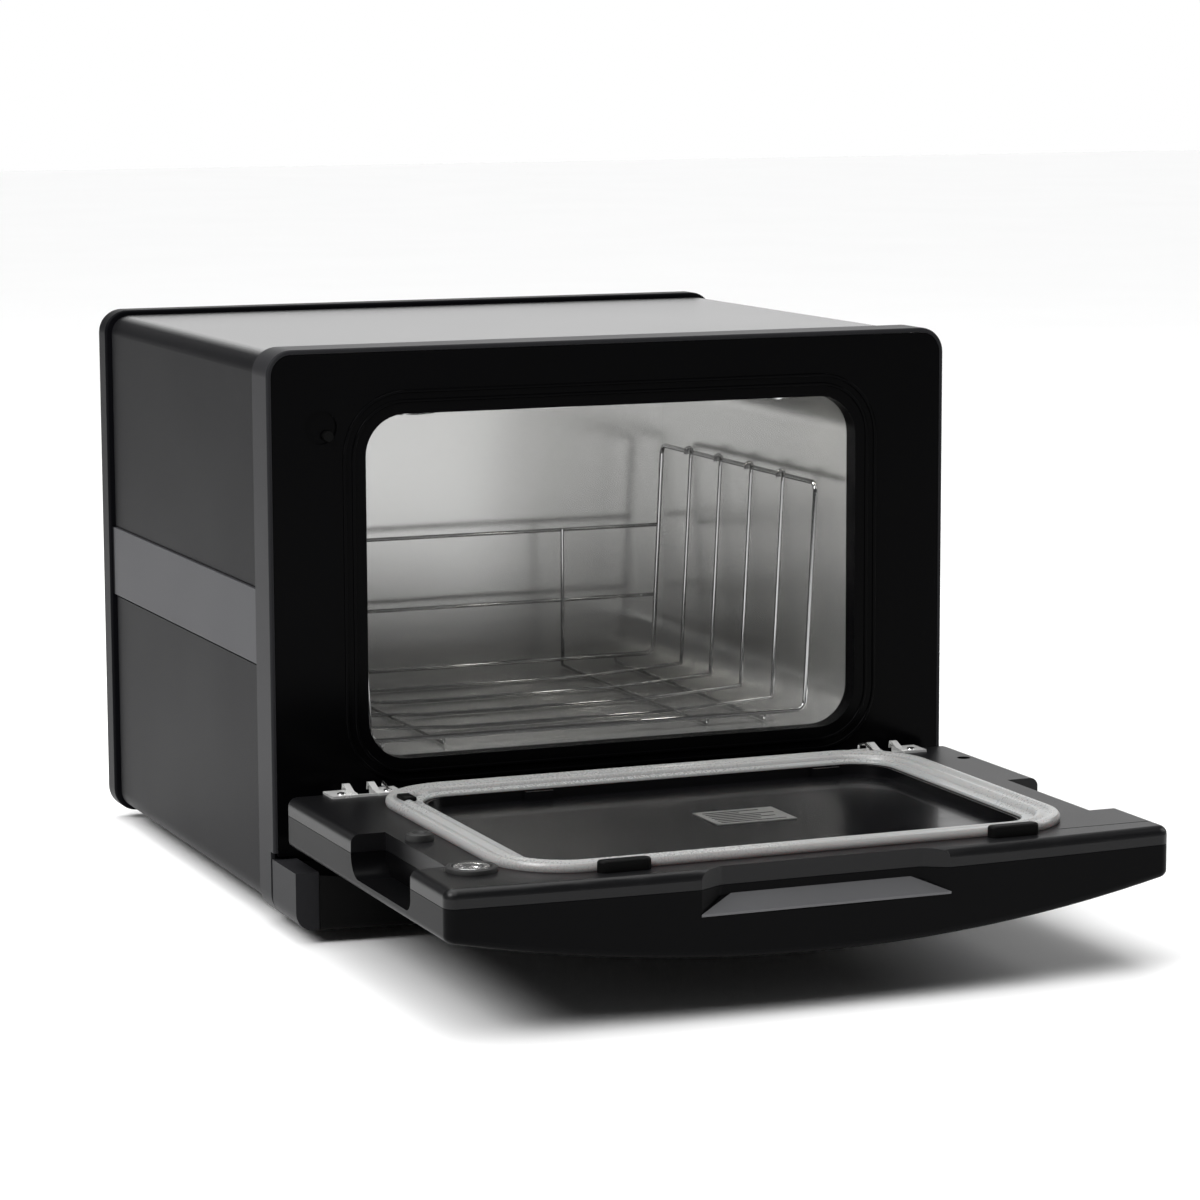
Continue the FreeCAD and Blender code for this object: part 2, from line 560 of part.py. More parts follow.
def rod(name, x, y, z, radius, length, way=ALONG_Z):
    """A cylinder that starts at x, y, z and runs along way."""
    item = doc.addObject("Part::Cylinder", name)
    bind(item, "Radius", radius)
    bind(item, "Height", length)
    return place(item, x, y, z, way)


def join(name, items):
    item = doc.addObject("Part::MultiFuse", name)
    item.Shapes = items
    item.Refine = True
    return item


def group(name, items):
    """Separate solids of one repeated fastener or foot, kept as one node."""
    item = doc.addObject("Part::Compound", name)
    item.Links = items
    return item


def cut(name, base, tool):
    item = doc.addObject("Part::Cut", name)
    item.Base = base
    item.Tool = tool
    return item


# A body's own XZ plane looks along -Y, so a pad with backwards=True runs rearwards.
def front_sketch(body, at_y):
    return new_sketch(body, "XZ_Plane", -as_size(at_y))


def plan_sketch(body, at_z):
    return new_sketch(body, "XY_Plane", at_z)


# ---------------------------------------------------------------- the case
def ring_pad(body, at_y, depth, outside, inside):
    """A rounded ring from at_y rearwards; each outline is left, right, low, high, radius."""
    sketch = front_sketch(body, at_y)
    rounded_loop(sketch, "outer", *outside)
    rounded_loop(sketch, "inner", *inside)
    return pad(body, sketch, depth, True)


def plate_pad(body, at_y, depth, outline):
    """A rounded plate from at_y rearwards."""
    sketch = front_sketch(body, at_y)
    rounded_loop(sketch, "edge", *outline)
    return pad(body, sketch, depth, True)


def cut_box(body, at_y, depth, left, right, low, high):
    """Cut a straight-sided opening, seen from the front, from at_y rearwards."""
    sketch = front_sketch(body, at_y)
    polygon_loop(sketch, "room", [(left, low), (right, low), (right, high), (left, high)])
    return pocket(body, sketch, depth)


def inset(outline, by):
    left, right, low, high, radius = outline
    return (left + by, right - by, low + by, high - by, radius - by)


def on_outline(edge, at_y):
    """True for an edge of the case's outer outline in the plane Y = at_y."""
    box = edge.BoundBox
    at_side = max(abs(box.XMax), abs(box.XMin)) > cell(half) - 0.05
    at_end = box.ZMax > cell(case_top) - 0.05 or box.ZMin < cell(case_low) + 0.05
    return lies_at(edge, "Y", at_y) and (at_side or at_end)


over = 1.0                                          # how far cutting shapes stand over
case_outline = (-half, half, case_low, case_top, corner)
wrap_outline = inset(case_outline, wrap_inset)
mouth_outline = (-mouth_half, mouth_half, mouth_low, mouth_top, mouth_radius)

# bezel: a moulded ring, its lower front corner cut back for the drip tray
bezel = new_body("front_bezel")
ring_pad(bezel, 0, bezel_depth, case_outline, inset(case_outline, lip))
soften(bezel, edge_round, lambda e: on_outline(e, 0.0))
cut_box(bezel, 0, tray_back + tray_gap, -half - over, half + over, case_low - over,
        cap_high + 2 * tray_gap)

# front panel with its collar, ridges, switch recess and hinge slots
panel = new_body("front_panel")
base = front_sketch(panel, 0)
rounded_loop(base, "edge", *inset(case_outline, lip + joint_gap))
rounded_loop(base, "mouth", *mouth_outline)
pad(panel, base, panel_wall, True)
ring_pad(panel, panel_wall, collar - panel_wall, inset(mouth_outline, -plastic), mouth_outline)
for out in (ridge_first, ridge_first + ridge_step):
    ridge = front_sketch(panel, 0)
    rounded_loop(ridge, "outer", *inset(mouth_outline, -out - ridge_wide / 2))
    rounded_loop(ridge, "inner", *inset(mouth_outline, ridge_wide / 2 - out))
    pad(panel, ridge, ridge_proud)
soften(panel, ridge_round, lambda e: lies_at(e, "Y", -cell(ridge_proud)))
switch_x = -(mouth_half + switch_out)
switch_z = mouth_top - switch_down
plunger_x = switch_x + plunger_right
plunger_z = switch_z - plunger_down
holes = front_sketch(panel, 0)
circle_loop(holes, "switch", plunger_x, plunger_z, plunger_radius + plunger_play)
for k, side in enumerate((-1, 1)):
    left = hinge_out * side - slot_half
    right = hinge_out * side + slot_half
    low, high = pivot_up - slot_rise, pivot_up + slot_rise
    polygon_loop(holes, f"slot{k}", [(left, low), (right, low), (right, high), (left, high)])
pocket(panel, holes, panel_wall)
dish = front_sketch(panel, 0)
circle_loop(dish, "dish", switch_x, switch_z, dish_radius)
pocket(panel, dish, dish_depth)
cut_box(panel, 0, panel_wall, -half, half, case_low - over, cap_high + tray_gap)

# lower front rail: closes the bezel behind the drip tray
rail_x = half - lip - rail_inset
rail_y = tray_back + tray_gap + joint_gap
rail = keep(block("rail", -rail_x, rail_x, rail_y, rail_y + panel_wall, case_low + rail_up,
                  cap_high + tray_gap - joint_gap), "lower_rail")

# wraps: one bent sheet over the top and one under the case, parted by the side arms
wrap_from = bezel_depth + joint_gap
wrap_length = wrap_rear - wrap_from
upper_wrap = new_body("upper_wrap")
ring_pad(upper_wrap, wrap_from, wrap_length, wrap_outline, inset(wrap_outline, sheet_wall))
cut_box(upper_wrap, wrap_from, wrap_length, -half, half, case_low, arm_top + arm_groove)
lower_wrap = new_body("lower_wrap")
ring_pad(lower_wrap, wrap_from, wrap_length, wrap_outline, inset(wrap_outline, sheet_wall))
cut_box(lower_wrap, wrap_from, wrap_length, -half, half, arm_low - arm_groove, case_top)

# rear frame: the ring at the back, its spigot inside the wraps, its two arms at the sides
frame = new_body("rear_frame")
frame_opening = inset(case_outline, cover_margin)
ring_pad(frame, frame_front, frame_depth, case_outline, frame_opening)
soften(frame, edge_round, lambda e: on_outline(e, cell(frame_front)))
soften(frame, back_round, lambda e: on_outline(e, cell(case_depth)))
ring_pad(frame, wrap_rear - spigot_tuck, rear_groove + spigot_tuck,
         inset(case_outline, cover_margin - spigot_wall), frame_opening)
arm_in = wrap_inside - joint_gap - arm_flange
arm_mid = wrap_inside - joint_gap
arms = front_sketch(frame, wrap_from)
for k, side in enumerate((-1, 1)):
    inner, mid, outer = arm_in * side, arm_mid * side, (wrap_face + arm_proud) * side
    polygon_loop(arms, f"arm{k}", [
        (inner, arm_low - arm_tuck), (mid, arm_low - arm_tuck), (mid, arm_low), (outer, arm_low),
        (outer, arm_top), (mid, arm_top), (mid, arm_top + arm_tuck), (inner, arm_top + arm_tuck)])
pad(frame, arms, frame_front - wrap_from + arm_root, True)

# rear cover: flat plate with an air grille and a hole for the cord gland
cover_at = case_depth - cover_setback
cover = new_body("rear_cover")
plate_pad(cover, cover_at, plastic, inset(frame_opening, joint_gap))
vents = front_sketch(cover, cover_at)
for column, side in enumerate((-1, 1)):
    for row in range(9):
        x = (vent_apart + vent_length) * (side / 2) - vent_length / 2 - vent_left
        z = case_top - vent_down + vent_pitch * row
        polygon_loop(vents, f"vent{column}_{row}", [(x, z), (x + vent_length, z),
                     (x + vent_length, z + vent_rise), (x, z + vent_rise)])
gland_x, gland_z = half - gland_inset, case_low + gland_up
circle_loop(vents, "gland", gland_x, gland_z, gland_radius)
pocket(cover, vents, plastic)

# base pan with its turned-up edges, and the four rubber feet
pan_low = case_low + wrap_inset + sheet_wall + joint_gap
base_x = half - base_inset
base_near, base_far = wrap_from + base_gap, wrap_rear - spigot_tuck - base_gap
base_pan = keep(cut("base_pan_cut",
                    block("base_outer", -base_x, base_x, base_near, base_far, pan_low,
                          pan_low + base_rise),
                    block("base_inner", sheet_wall - base_x, base_x - sheet_wall,
                          base_near + sheet_wall, base_far - sheet_wall, pan_low + sheet_wall,
                          pan_low + base_rise + over)), "base_pan")
feet_at = [(side * (half - foot_inset), y) for side in (-1, 1)
           for y in (foot_setback, case_depth - foot_setback)]
feet = keep(group("feet_group", [rod("foot", x, y, 0, foot_radius, case_low + wrap_inset - touch)
                                 for x, y in feet_at]), "rubber_feet")
cord_gland = keep(join("gland_join", [
    rod("gland_neck", gland_x, cover_at - gland_tail, gland_z, gland_radius - gland_play,
        gland_tail + plastic + 2 * touch, ALONG_Y),
    rod("gland_head", gland_x, cover_at + plastic + touch, gland_z, gland_radius + gland_rim,
        gland_head, ALONG_Y)]), "cord_gland")

# ---------------------------------------------------------------- the cavity
cavity = new_body("cavity_liner")
cavity_front = collar + joint_gap
ring_pad(cavity, cavity_front, cavity_depth - cavity_front, inset(mouth_outline, -steel),
         mouth_outline)
plate_pad(cavity, cavity_depth, steel, inset(mouth_outline, -steel))
ring_pad(cavity, cavity_front, steel, inset(mouth_outline, -flange_wide), mouth_outline)
roof_hole = plan_sketch(cavity, mouth_top - over)
circle_loop(roof_hole, "fan", 0, fan_place, fan_opening)
pocket(cavity, roof_hole, steel + 2 * over, True)

# insulation: a blanket over the top and round both sides and the back
blanket = new_body("insulation_blanket")
blanket_inside = inset(mouth_outline, -steel - blanket_gap)
blanket_outside = inset(blanket_inside, -blanket_wall)
blanket_back = cavity_depth + steel + blanket_gap
ring_pad(blanket, blanket_start, blanket_back - blanket_start, blanket_outside, blanket_inside)
plate_pad(blanket, blanket_back, blanket_wall, blanket_outside)
blanket_hole = plan_sketch(blanket, mouth_top)
circle_loop(blanket_hole, "fan", 0, fan_place, fan_opening + housing_wall + housing_rim + over)
pocket(blanket, blanket_hole, steel + blanket_gap + blanket_wall + over, True)

# circulation fan in the roof: housing, blade, shaft, motor, heater ring and guard
roof = mouth_top + steel
housing_in = fan_opening + housing_rim
housing = keep(cut("housing_cut",
                   rod("housing_outer", 0, fan_place, roof, housing_in + housing_wall, housing_rise),
                   join("housing_hollow", [
                       rod("housing_inner", 0, fan_place, roof - over, housing_in, housing_rise),
                       rod("housing_bore", 0, fan_place, roof - over, housing_bore,
                           housing_rise + 2 * over)])), "fan_housing")
fan_low = roof + fan_up
shaft = keep(rod("shaft_rod", 0, fan_place, fan_low - shaft_below, shaft_radius, shaft_length),
             "fan_shaft")
hub = rod("hub_rod", 0, fan_place, fan_low, hub_radius, hub_rise)
blades = []
for k in range(8):
    blade = doc.addObject("Part::Box", "blade")
    bind(blade, "Length", fan_opening - blade_clear - blade_short)
    bind(blade, "Width", sheet_wall)
    bind(blade, "Height", blade_rise)
    turn = Rotation(Vector(0, 0, 1), 45 * k)
    blades.append(place(blade, 0, fan_place, fan_low + sheet_wall - touch, turn))
disc = rod("disc_rod", 0, fan_place, fan_low, fan_opening - blade_clear, sheet_wall)
fan = keep(cut("fan_cut", join("fan_join", [hub, disc] + blades),
               rod("fan_bore", 0, fan_place, fan_low - over, shaft_radius + press,
                   blade_rise + hub_rise)), "fan_blade")
motor_low = roof + housing_rise + touch
motor = keep(cut("motor_cut",
                 join("motor_join", [
                     rod("motor_can", 0, fan_place, motor_low, motor_radius, motor_rise),
                     block("motor_feet", -motor_foot, motor_foot, fan_place - motor_foot / 6,
                           fan_place + motor_foot / 6, motor_low, motor_low + steel)]),
                 rod("motor_bore", 0, fan_place, motor_low - over, shaft_radius + running,
                     motor_rise)), "fan_motor")
heater_z = mouth_top - heater_down
heater_ring = doc.addObject("Part::Torus", "heater_torus")
bind(heater_ring, "Radius1", fan_opening + heater_out)
bind(heater_ring, "Radius2", heater_radius)
place(heater_ring, 0, fan_place, heater_z)
heater = keep(join("heater_join", [heater_ring] + [
    rod("heater_leg", side * heater_leg, fan_place + fan_opening + heater_out, heater_z,
        heater_radius, heater_down - touch) for side in (-1, 1)]), "ring_heater")
guard = new_body("fan_guard")
guard_plate = plan_sketch(guard, 0)
circle_loop(guard_plate, "edge", 0, 0, fan_opening + guard_out)
pad(guard, guard_plate, guard_wall)
holes = plan_sketch(guard, 0)
circle_loop(holes, "inner_hole", guard_inner, 0, guard_small)
circle_loop(holes, "outer_hole", fan_opening - guard_outer, 0, guard_large)
slot_cut = pocket(guard, holes, guard_wall, True)
spread = guard.newObject("PartDesign::PolarPattern", "Spread")
spread.Originals = [slot_cut]
spread.Axis = (origin_plane(guard, "Z_Axis"), [""])
spread.Angle = 360
spread.Occurrences = 12
guard.Tip = spread
place(guard, 0, fan_place, mouth_top - guard_down)
guard_posts = keep(group("posts_group", [
    rod("post", side * (fan_opening + guard_out - 1.2 * post_radius), fan_place,
        mouth_top - guard_down + guard_wall + touch, post_radius,
        guard_down - guard_wall - 2 * touch) for side in (-1, 1)]), "guard_posts")

# lamps in the roof's front corners
lamp_x = mouth_half - mouth_radius - lamp_radius - lamp_clear
lamps = keep(group("lamps_group", [
    rod("lamp", side * lamp_x, collar + lamp_setback, mouth_top - lamp_wall - touch, lamp_radius,
        lamp_wall) for side in (-1, 1)]), "cavity_lamps")

# door switch behind the front panel: body, sprung plunger
switch_y = panel_wall + joint_gap
collar_radius = plunger_radius + plunger_flange
plunger = keep(join("plunger_join", [
    rod("plunger_pin", plunger_x, -plunger_proud, plunger_z, plunger_radius, plunger_length,
        ALONG_Y),
    rod("plunger_collar", plunger_x, switch_y + joint_gap, plunger_z, collar_radius,
        plunger_rim, ALONG_Y)]), "switch_plunger")
switch_box = keep(cut("switch_cut",
                      block("switch_block", plunger_x - switch_half, plunger_x + switch_half,
                            switch_y, switch_y + switch_depth, plunger_z - switch_tall,
                            plunger_z + switch_tall),
                      join("switch_hollow", [
                          rod("switch_bore", plunger_x, panel_wall, plunger_z,
                              collar_radius + plunger_play, switch_bore, ALONG_Y),
                          rod("switch_rear", plunger_x, panel_wall, plunger_z,
                              plunger_radius + plunger_play, switch_depth - plunger_rim,
                              ALONG_Y)])), "switch_body")

# power board on the right, beside the cavity
board_x = half - board_inset
board_low = case_low + board_up
board_far = wrap_rear - board_rear
part_pitch = (board_far - board_front - part_long - 2 * part_first) / 3
power_board = keep(join("board_join", [
    block("board_plate", board_x, board_x + board_wall, board_front, board_far, board_low,
          board_low + board_rise)] + [
    block("board_part", board_x - part_deep, board_x + touch,
          board_front + part_first + part_pitch * k, board_front + part_first + part_pitch * k
          + part_long, board_low + part_up, board_low + part_up + part_tall + part_deep * (k % 2))
    for k in range(4)]), "power_board")
board_posts = keep(group("board_posts_group", [
    rod("board_post", board_x + board_wall + touch, y, z, spacer_radius,
        wrap_inside - board_x - board_wall - 2 * touch, ALONG_X)
    for y in (board_front + spacer_in, board_far - spacer_in)
    for z in (board_low + spacer_in, arm_low - arm_tuck - spacer_in)]), "board_spacers")
terminal = keep(block("terminal", gland_x - terminal_half, gland_x + terminal_half,
                      base_far - sheet_wall - terminal_long, base_far - sheet_wall - touch,
                      pan_low + sheet_wall + touch, gland_z - gland_radius - terminal_below),
                "terminal_block")

# brackets from the base pan to the insulated cavity
bracket_low = pan_low + sheet_wall + touch
bracket_top = mouth_low - steel - blanket_gap - blanket_wall - touch
brackets = keep(group("brackets_group", [
    block("bracket", side * (mouth_half - bracket_inset) - bracket_width / 2,
          side * (mouth_half - bracket_inset) + bracket_width / 2, y, y + bracket_wall,
          bracket_low, bracket_top)
    for side in (-1, 1) for y in (bracket_front, cavity_depth - bracket_rear)]),
    "cavity_brackets")


# ---------------------------------------------------------------- the door
def cut_line(x0, y0, x1, y1):
    return Part.makeLine(Vector(x0, y0, 0), Vector(x1, y1, 0))


def bow_cutter(at_y, bow, across):
    """A tall solid in front of a bowed line: it trims a part's front to that curve."""
    x = cell(across)
    y = cell(at_y)
    crown = cell(bow)
    wide = x + 60
    back = y + 8
    far = y - crown - 60
    arc = Part.Arc(Vector(-x, y, 0), Vector(0, y - crown, 0), Vector(x, y, 0))
    outline = Part.Wire([arc.toShape(), cut_line(x, y, wide, back), cut_line(wide, back, wide, far),
                         cut_line(wide, far, -wide, far), cut_line(-wide, far, -wide, back),
                         cut_line(-wide, back, -x, y)])
    solid = Part.Face(outline).extrude(Vector(0, 0, cell(case_height)))
    solid.translate(Vector(0, 0, -cell(door_belly)))
    return solid


def belly_section(width, top, side_low, belly):
    """The door shell's section: flat sides and a bowed underside."""
    x = width / 2
    arc = Part.Arc(Vector(-x, 0, side_low), Vector(0, 0, side_low - belly), Vector(x, 0, side_low))
    return Part.Face(Part.Wire([
        Part.makeLine(Vector(x, 0, top), Vector(-x, 0, top)),
        Part.makeLine(Vector(-x, 0, top), Vector(-x, 0, side_low)),
        arc.toShape(),
        Part.makeLine(Vector(x, 0, side_low), Vector(x, 0, top))]))


def solid_part(label, shape):
    """A sub-part whose curved shape is worked out from the sheet's values."""
    item = doc.addObject("Part::Feature", label + "_shape")
    item.Shape = shape.removeSplitter()
    return keep(item, label)


def round_edges(shape, radius, chosen):
    return shape.makeFillet(radius, [edge for edge in shape.Edges if chosen(edge)])


def box_shape(x0, x1, y0, y1, z0, z1):
    return Part.makeBox(x1 - x0, y1 - y0, z1 - z0, Vector(x0, y0, z0))


def rounded_block(x0, x1, y0, y1, z0, z1, radius):
    solid = box_shape(x0, x1, y0, y1, z0, z1)
    return round_edges(solid, radius, lambda e: spans(e, "Z", (z1 - z0) * 0.9))


side_x = cell(half - door_side_gap)
inner_x = side_x - cell(grip_depth) - cell(door_cheek)
far_y = -cell(pivot_out + (case_top - pivot_up) - door_top_gap)
near_y = -cell(door_rear)
full_y = far_y - cell(door_crown)
z_face, z_part, z_low = cell(face_up), cell(parting), cell(shell_low)
z_belly = z_low - cell(door_belly)
hollow_far, hollow_near = far_y + cell(door_frame), near_y - cell(door_spine)
gap = cell(joint_gap)
hair = cell(touch)


def grip_cutter(side):
    """The grip in one side of the door, rounded where its ends meet its floor."""
    floor = z_face - cell(grip_floor)
    x_in, x_out = side * (side_x - cell(grip_depth)), side * (side_x + over)
    y_near, y_far = far_y + cell(grip_near), far_y + cell(grip_far)
    solid = box_shape(min(x_in, x_out), max(x_in, x_out), y_far, y_near, floor, z_face + over)
    solid = round_edges(solid, cell(grip_round), lambda e: lies_at(e, "Z", floor) and
                        lies_at(e, "Y", y_near))
    return round_edges(solid, cell(wire_bend), lambda e: lies_at(e, "Z", floor) and
                       lies_at(e, "Y", y_far))


def notch_cutter():
    """The handle notch in the door's free edge, wider and deeper at the front."""
    x_in = cell(notch_half)
    x_out = cell(notch_half + notch_flare)
    back, front = far_y + over, full_y - over
    top = z_face + over
    mid = z_face - cell(notch_down)
    low = mid - cell(notch_slope)
    rear = Part.makePolygon([Vector(-x_in, back, mid), Vector(x_in, back, mid),
                             Vector(x_in, back, top), Vector(-x_in, back, top),
                             Vector(-x_in, back, mid)])
    ahead = Part.makePolygon([Vector(-x_out, front, low), Vector(x_out, front, low),
                              Vector(x_out, front, top), Vector(-x_out, front, top),
                              Vector(-x_out, front, low)])
    solid = Part.makeLoft([rear, ahead], True, True)
    return round_edges(solid, cell(notch_round), lambda e: lies_at(e, "Y", back) and
                       spans(e, "Z", top - mid - over))


def hinge_room(side):
    """The slot in the door that the fixed hinge tongue swings through."""
    middle = side * cell(hinge_out)
    width = cell(room_half)
    return box_shape(middle - width, middle + width, near_y - cell(room_deep), near_y + over,
                     z_face - cell(room_rise), z_face + over)


bow = bow_cutter(far_y, door_crown, side_x)
shell = belly_section(2 * side_x, z_part - gap, z_low, cell(door_belly))
shell = shell.extrude(Vector(0, full_y - near_y, 0))
shell.translate(Vector(0, near_y, 0))
shell = shell.cut(bow)
shell = round_edges(shell, cell(door_corner), lambda e: spans(e, "Z", 10) and
                    lies_at(e, "X", e.BoundBox.XMin) and abs(e.BoundBox.XMin) > side_x - over)
shell = round_edges(shell, cell(shell_edge), lambda e: e.BoundBox.ZMax < z_low + over and
                    (spans(e, "Y", 200) or e.BoundBox.YMax < far_y + over or
                     e.BoundBox.YMin > near_y - over))
hollow_belly = cell(door_belly) - cell(plastic) - cell(shell_edge) / 2
hollow = belly_section(2 * inner_x, z_face, z_low - cell(sheet_wall), hollow_belly)
hollow = hollow.extrude(Vector(0, hollow_far - hollow_near, 0))
hollow.translate(Vector(0, hollow_near, 0))
shell = shell.cut(hollow)
for side in (-1, 1):
    shell = shell.cut(grip_cutter(side)).cut(hinge_room(side))
shell = shell.cut(notch_cutter())
lens_x = cell(lens_half)
lens_far_y, lens_near_y = far_y + cell(lens_far), far_y + cell(lens_near)
shell = shell.cut(box_shape(-lens_x, lens_x, lens_far_y, lens_near_y, z_belly - over,
                            z_belly + cell(lens_wall)))
solid_part("door_outer_shell", shell)
lens = rounded_block(gap - lens_x, lens_x - gap, lens_far_y + gap, lens_near_y - gap,
                     z_belly - hair, z_belly + cell(lens_wall) - hair, cell(lens_wall))
solid_part("display_lens", lens)

# liner: the door's inner face with its skirt, pan and the seats for what is fixed to it
liner = box_shape(-side_x, side_x, full_y, near_y, z_part, z_face)
liner = liner.cut(bow)
liner = round_edges(liner, cell(door_corner), lambda e: spans(e, "Z", 5))
liner = round_edges(liner, cell(door_edge), lambda e: lies_at(e, "Z", z_face))
seal_x = cell(mouth_half + seal_over)
s_near = -cell(pivot_out + (mouth_low - pivot_up) - seal_under)
s_far = -cell(pivot_out + (mouth_top - pivot_up) + seal_above)
band = cell(seal_band)
pan_x = seal_x - band - cell(flange_in)
pan_near, pan_far = s_near - band - cell(pan_near_in), s_far + band + cell(pan_far_in)
pan_r = cell(pan_radius)
pan_hole = rounded_block(-pan_x, pan_x, pan_far, pan_near, z_part - over, z_face + over, pan_r)
under = box_shape(-inner_x, inner_x, hollow_far, hollow_near, z_part - over,
                  z_face - cell(plastic))
liner = liner.cut(under).cut(pan_hole)
for side in (-1, 1):
    liner = liner.cut(grip_cutter(side)).cut(hinge_room(side))
liner = liner.cut(notch_cutter())
drain_x, drain_y = side_x - cell(drain_in), near_y - cell(drain_out)
liner = liner.cut(Part.makeCylinder(cell(drain_radius), cell(liner_rise),
                                    Vector(drain_x, drain_y, z_face - cell(pan_deep))))
score_y = far_y + cell(score_far)
score_end = side_x - cell(door_edge)
liner = liner.cut(box_shape(score_end - cell(hinge_out) / 3, score_end, score_y - over, score_y,
                            z_face - cell(score_deep), z_face + over))
solid_part("door_inner_liner", liner)

pan_floor = z_face - cell(pan_deep)
wall = cell(pan_wall)
pan = rounded_block(gap - pan_x, pan_x - gap, pan_far + gap, pan_near - gap, pan_floor - wall,
                    z_face - gap, pan_r - gap)
dished = gap + wall
pan = pan.cut(rounded_block(dished - pan_x, pan_x - dished, pan_far + dished, pan_near - dished,
                            pan_floor, z_face + over, pan_r - dished))
rib_y = pan_near - dished + hair
ribs = [box_shape(x0, x0 + cell(rib_long), rib_y - cell(rib_wide), rib_y, pan_floor - hair,
                  z_face - 2 * gap) for x0 in (-cell(rib_left), cell(rib_right))]
solid_part("door_pan", pan.fuse(ribs))

# seal: a lip that meets the front panel, a flange inside it, seats for the two clips
s_r = cell(seal_radius)
seal_top = z_face + cell(seal_rise)
seal = rounded_block(-seal_x, seal_x, s_far, s_near, z_face, seal_top, s_r)
seal = round_edges(seal, cell(seal_round), lambda e: lies_at(e, "Z", seal_top))
seal = seal.cut(rounded_block(band - seal_x, seal_x - band, s_far + band, s_near - band,
                              z_face - over, seal_top + over, s_r - band))
lap = band - over
flange = rounded_block(lap - seal_x, seal_x - lap, s_far + lap, s_near - lap, z_face,
                       z_face + cell(flange_rise), s_r - band)
flange = flange.cut(rounded_block(-pan_x - over, pan_x + over, pan_far - over, pan_near + over,
                                  z_face - over, seal_top, pan_r + over))
seal = seal.fuse(flange)
seal = seal.cut(box_shape(-cell(seal_step_left), cell(seal_step_right), s_near - band / 2,
                          s_near + over, seal_top - cell(seal_dish), seal_top + over))
clip_y = s_far - cell(clip_bite)
clip_wide = cell(clip_half)
clip_ends = [cell(clip_left) - seal_x, seal_x - cell(clip_right) - cell(clip_long)]
clips = []
for x0 in clip_ends:
    x1 = x0 + cell(clip_long)
    clip = rounded_block(x0, x1, clip_y - clip_wide, clip_y + clip_wide, z_face,
                         z_face + cell(clip_rise), clip_wide - hair)
    clips.append(round_edges(clip, cell(edge_round), lambda e: e.BoundBox.ZMin > seal_top))
    seal = seal.cut(box_shape(x0 - gap, x1 + gap, s_far - over, clip_y + clip_wide + gap,
                              z_face - over, seal_top + over))
solid_part("door_seal", seal)
solid_part("seal_clips", Part.makeCompound(clips))

# strike, bumper and label
strike_at = Vector(cell(switch_x), -cell(pivot_out + (switch_z - pivot_up)), z_face)
ring = Part.makeCylinder(cell(strike_radius), cell(strike_rise), strike_at)
solid_part("strike_ring", ring.cut(Part.makeCylinder(cell(strike_inner), cell(strike_rise),
                                                     strike_at)))
plate = Part.makeCylinder(cell(strike_inner) - hair, cell(strike_plate_rise), strike_at)
groove_at = strike_at + Vector(0, 0, cell(strike_plate_rise) / 2)
groove = Part.makeCylinder(cell(strike_step), cell(strike_rise), groove_at)
solid_part("strike_plate", plate.cut(groove.cut(
    Part.makeCylinder(cell(strike_core), cell(strike_rise), groove_at))))
bumper_at = Vector(cell(bumper_in) - side_x, far_y + cell(bumper_back), z_face)
bumper_top = z_face + cell(bumper_rise)
stub = Part.makeCylinder(cell(bumper_radius), cell(bumper_rise), bumper_at)
solid_part("door_bumper", round_edges(stub, cell(bumper_edge),
                                      lambda e: lies_at(e, "Z", bumper_top)))
label_y = (pan_near + pan_far) / 2 + cell(label_back)
label_x = cell(label_right)
solid_part("label_plate", box_shape(
    label_x - cell(label_width) / 2, label_x + cell(label_width) / 2,
    label_y - cell(label_deep) / 2, label_y + cell(label_deep) / 2, pan_floor,
    pan_floor + cell(label_wall)))


# handle trim: a slanted strip on the notch's floor
def trim_end(x, y, z):
    low, high = z + hair / 2, z + cell(trim_wall)
    return Part.makePolygon([Vector(-x, y, low), Vector(x, y, low), Vector(x, y, high),
                             Vector(-x, y, high), Vector(-x, y, low)])


trim_high = z_face - cell(notch_down)
solid_part("handle_trim", Part.makeLoft([
    trim_end(cell(notch_half - notch_round - trim_in), far_y + over - gap, trim_high),
    trim_end(cell(notch_half + notch_flare - trim_out), full_y + gap,
             trim_high - cell(trim_fall))], True, True))

# door insulation and the touch board behind the display lens
wool_x = inner_x - cell(wool_in)
wool_top = z_part - cell(edge_round)
solid_part("door_insulation", box_shape(-wool_x, wool_x, far_y + cell(wool_far),
                                        near_y - cell(wool_near), wool_top - cell(wool_rise),
                                        wool_top))
touch_x = lens_x + cell(touch_side)
touch_z = z_part - cell(touch_down)
solid_part("touch_board", box_shape(-touch_x, touch_x, lens_far_y - cell(touch_in),
                                    lens_near_y + cell(touch_in), touch_z,
                                    touch_z + cell(board_wall)))

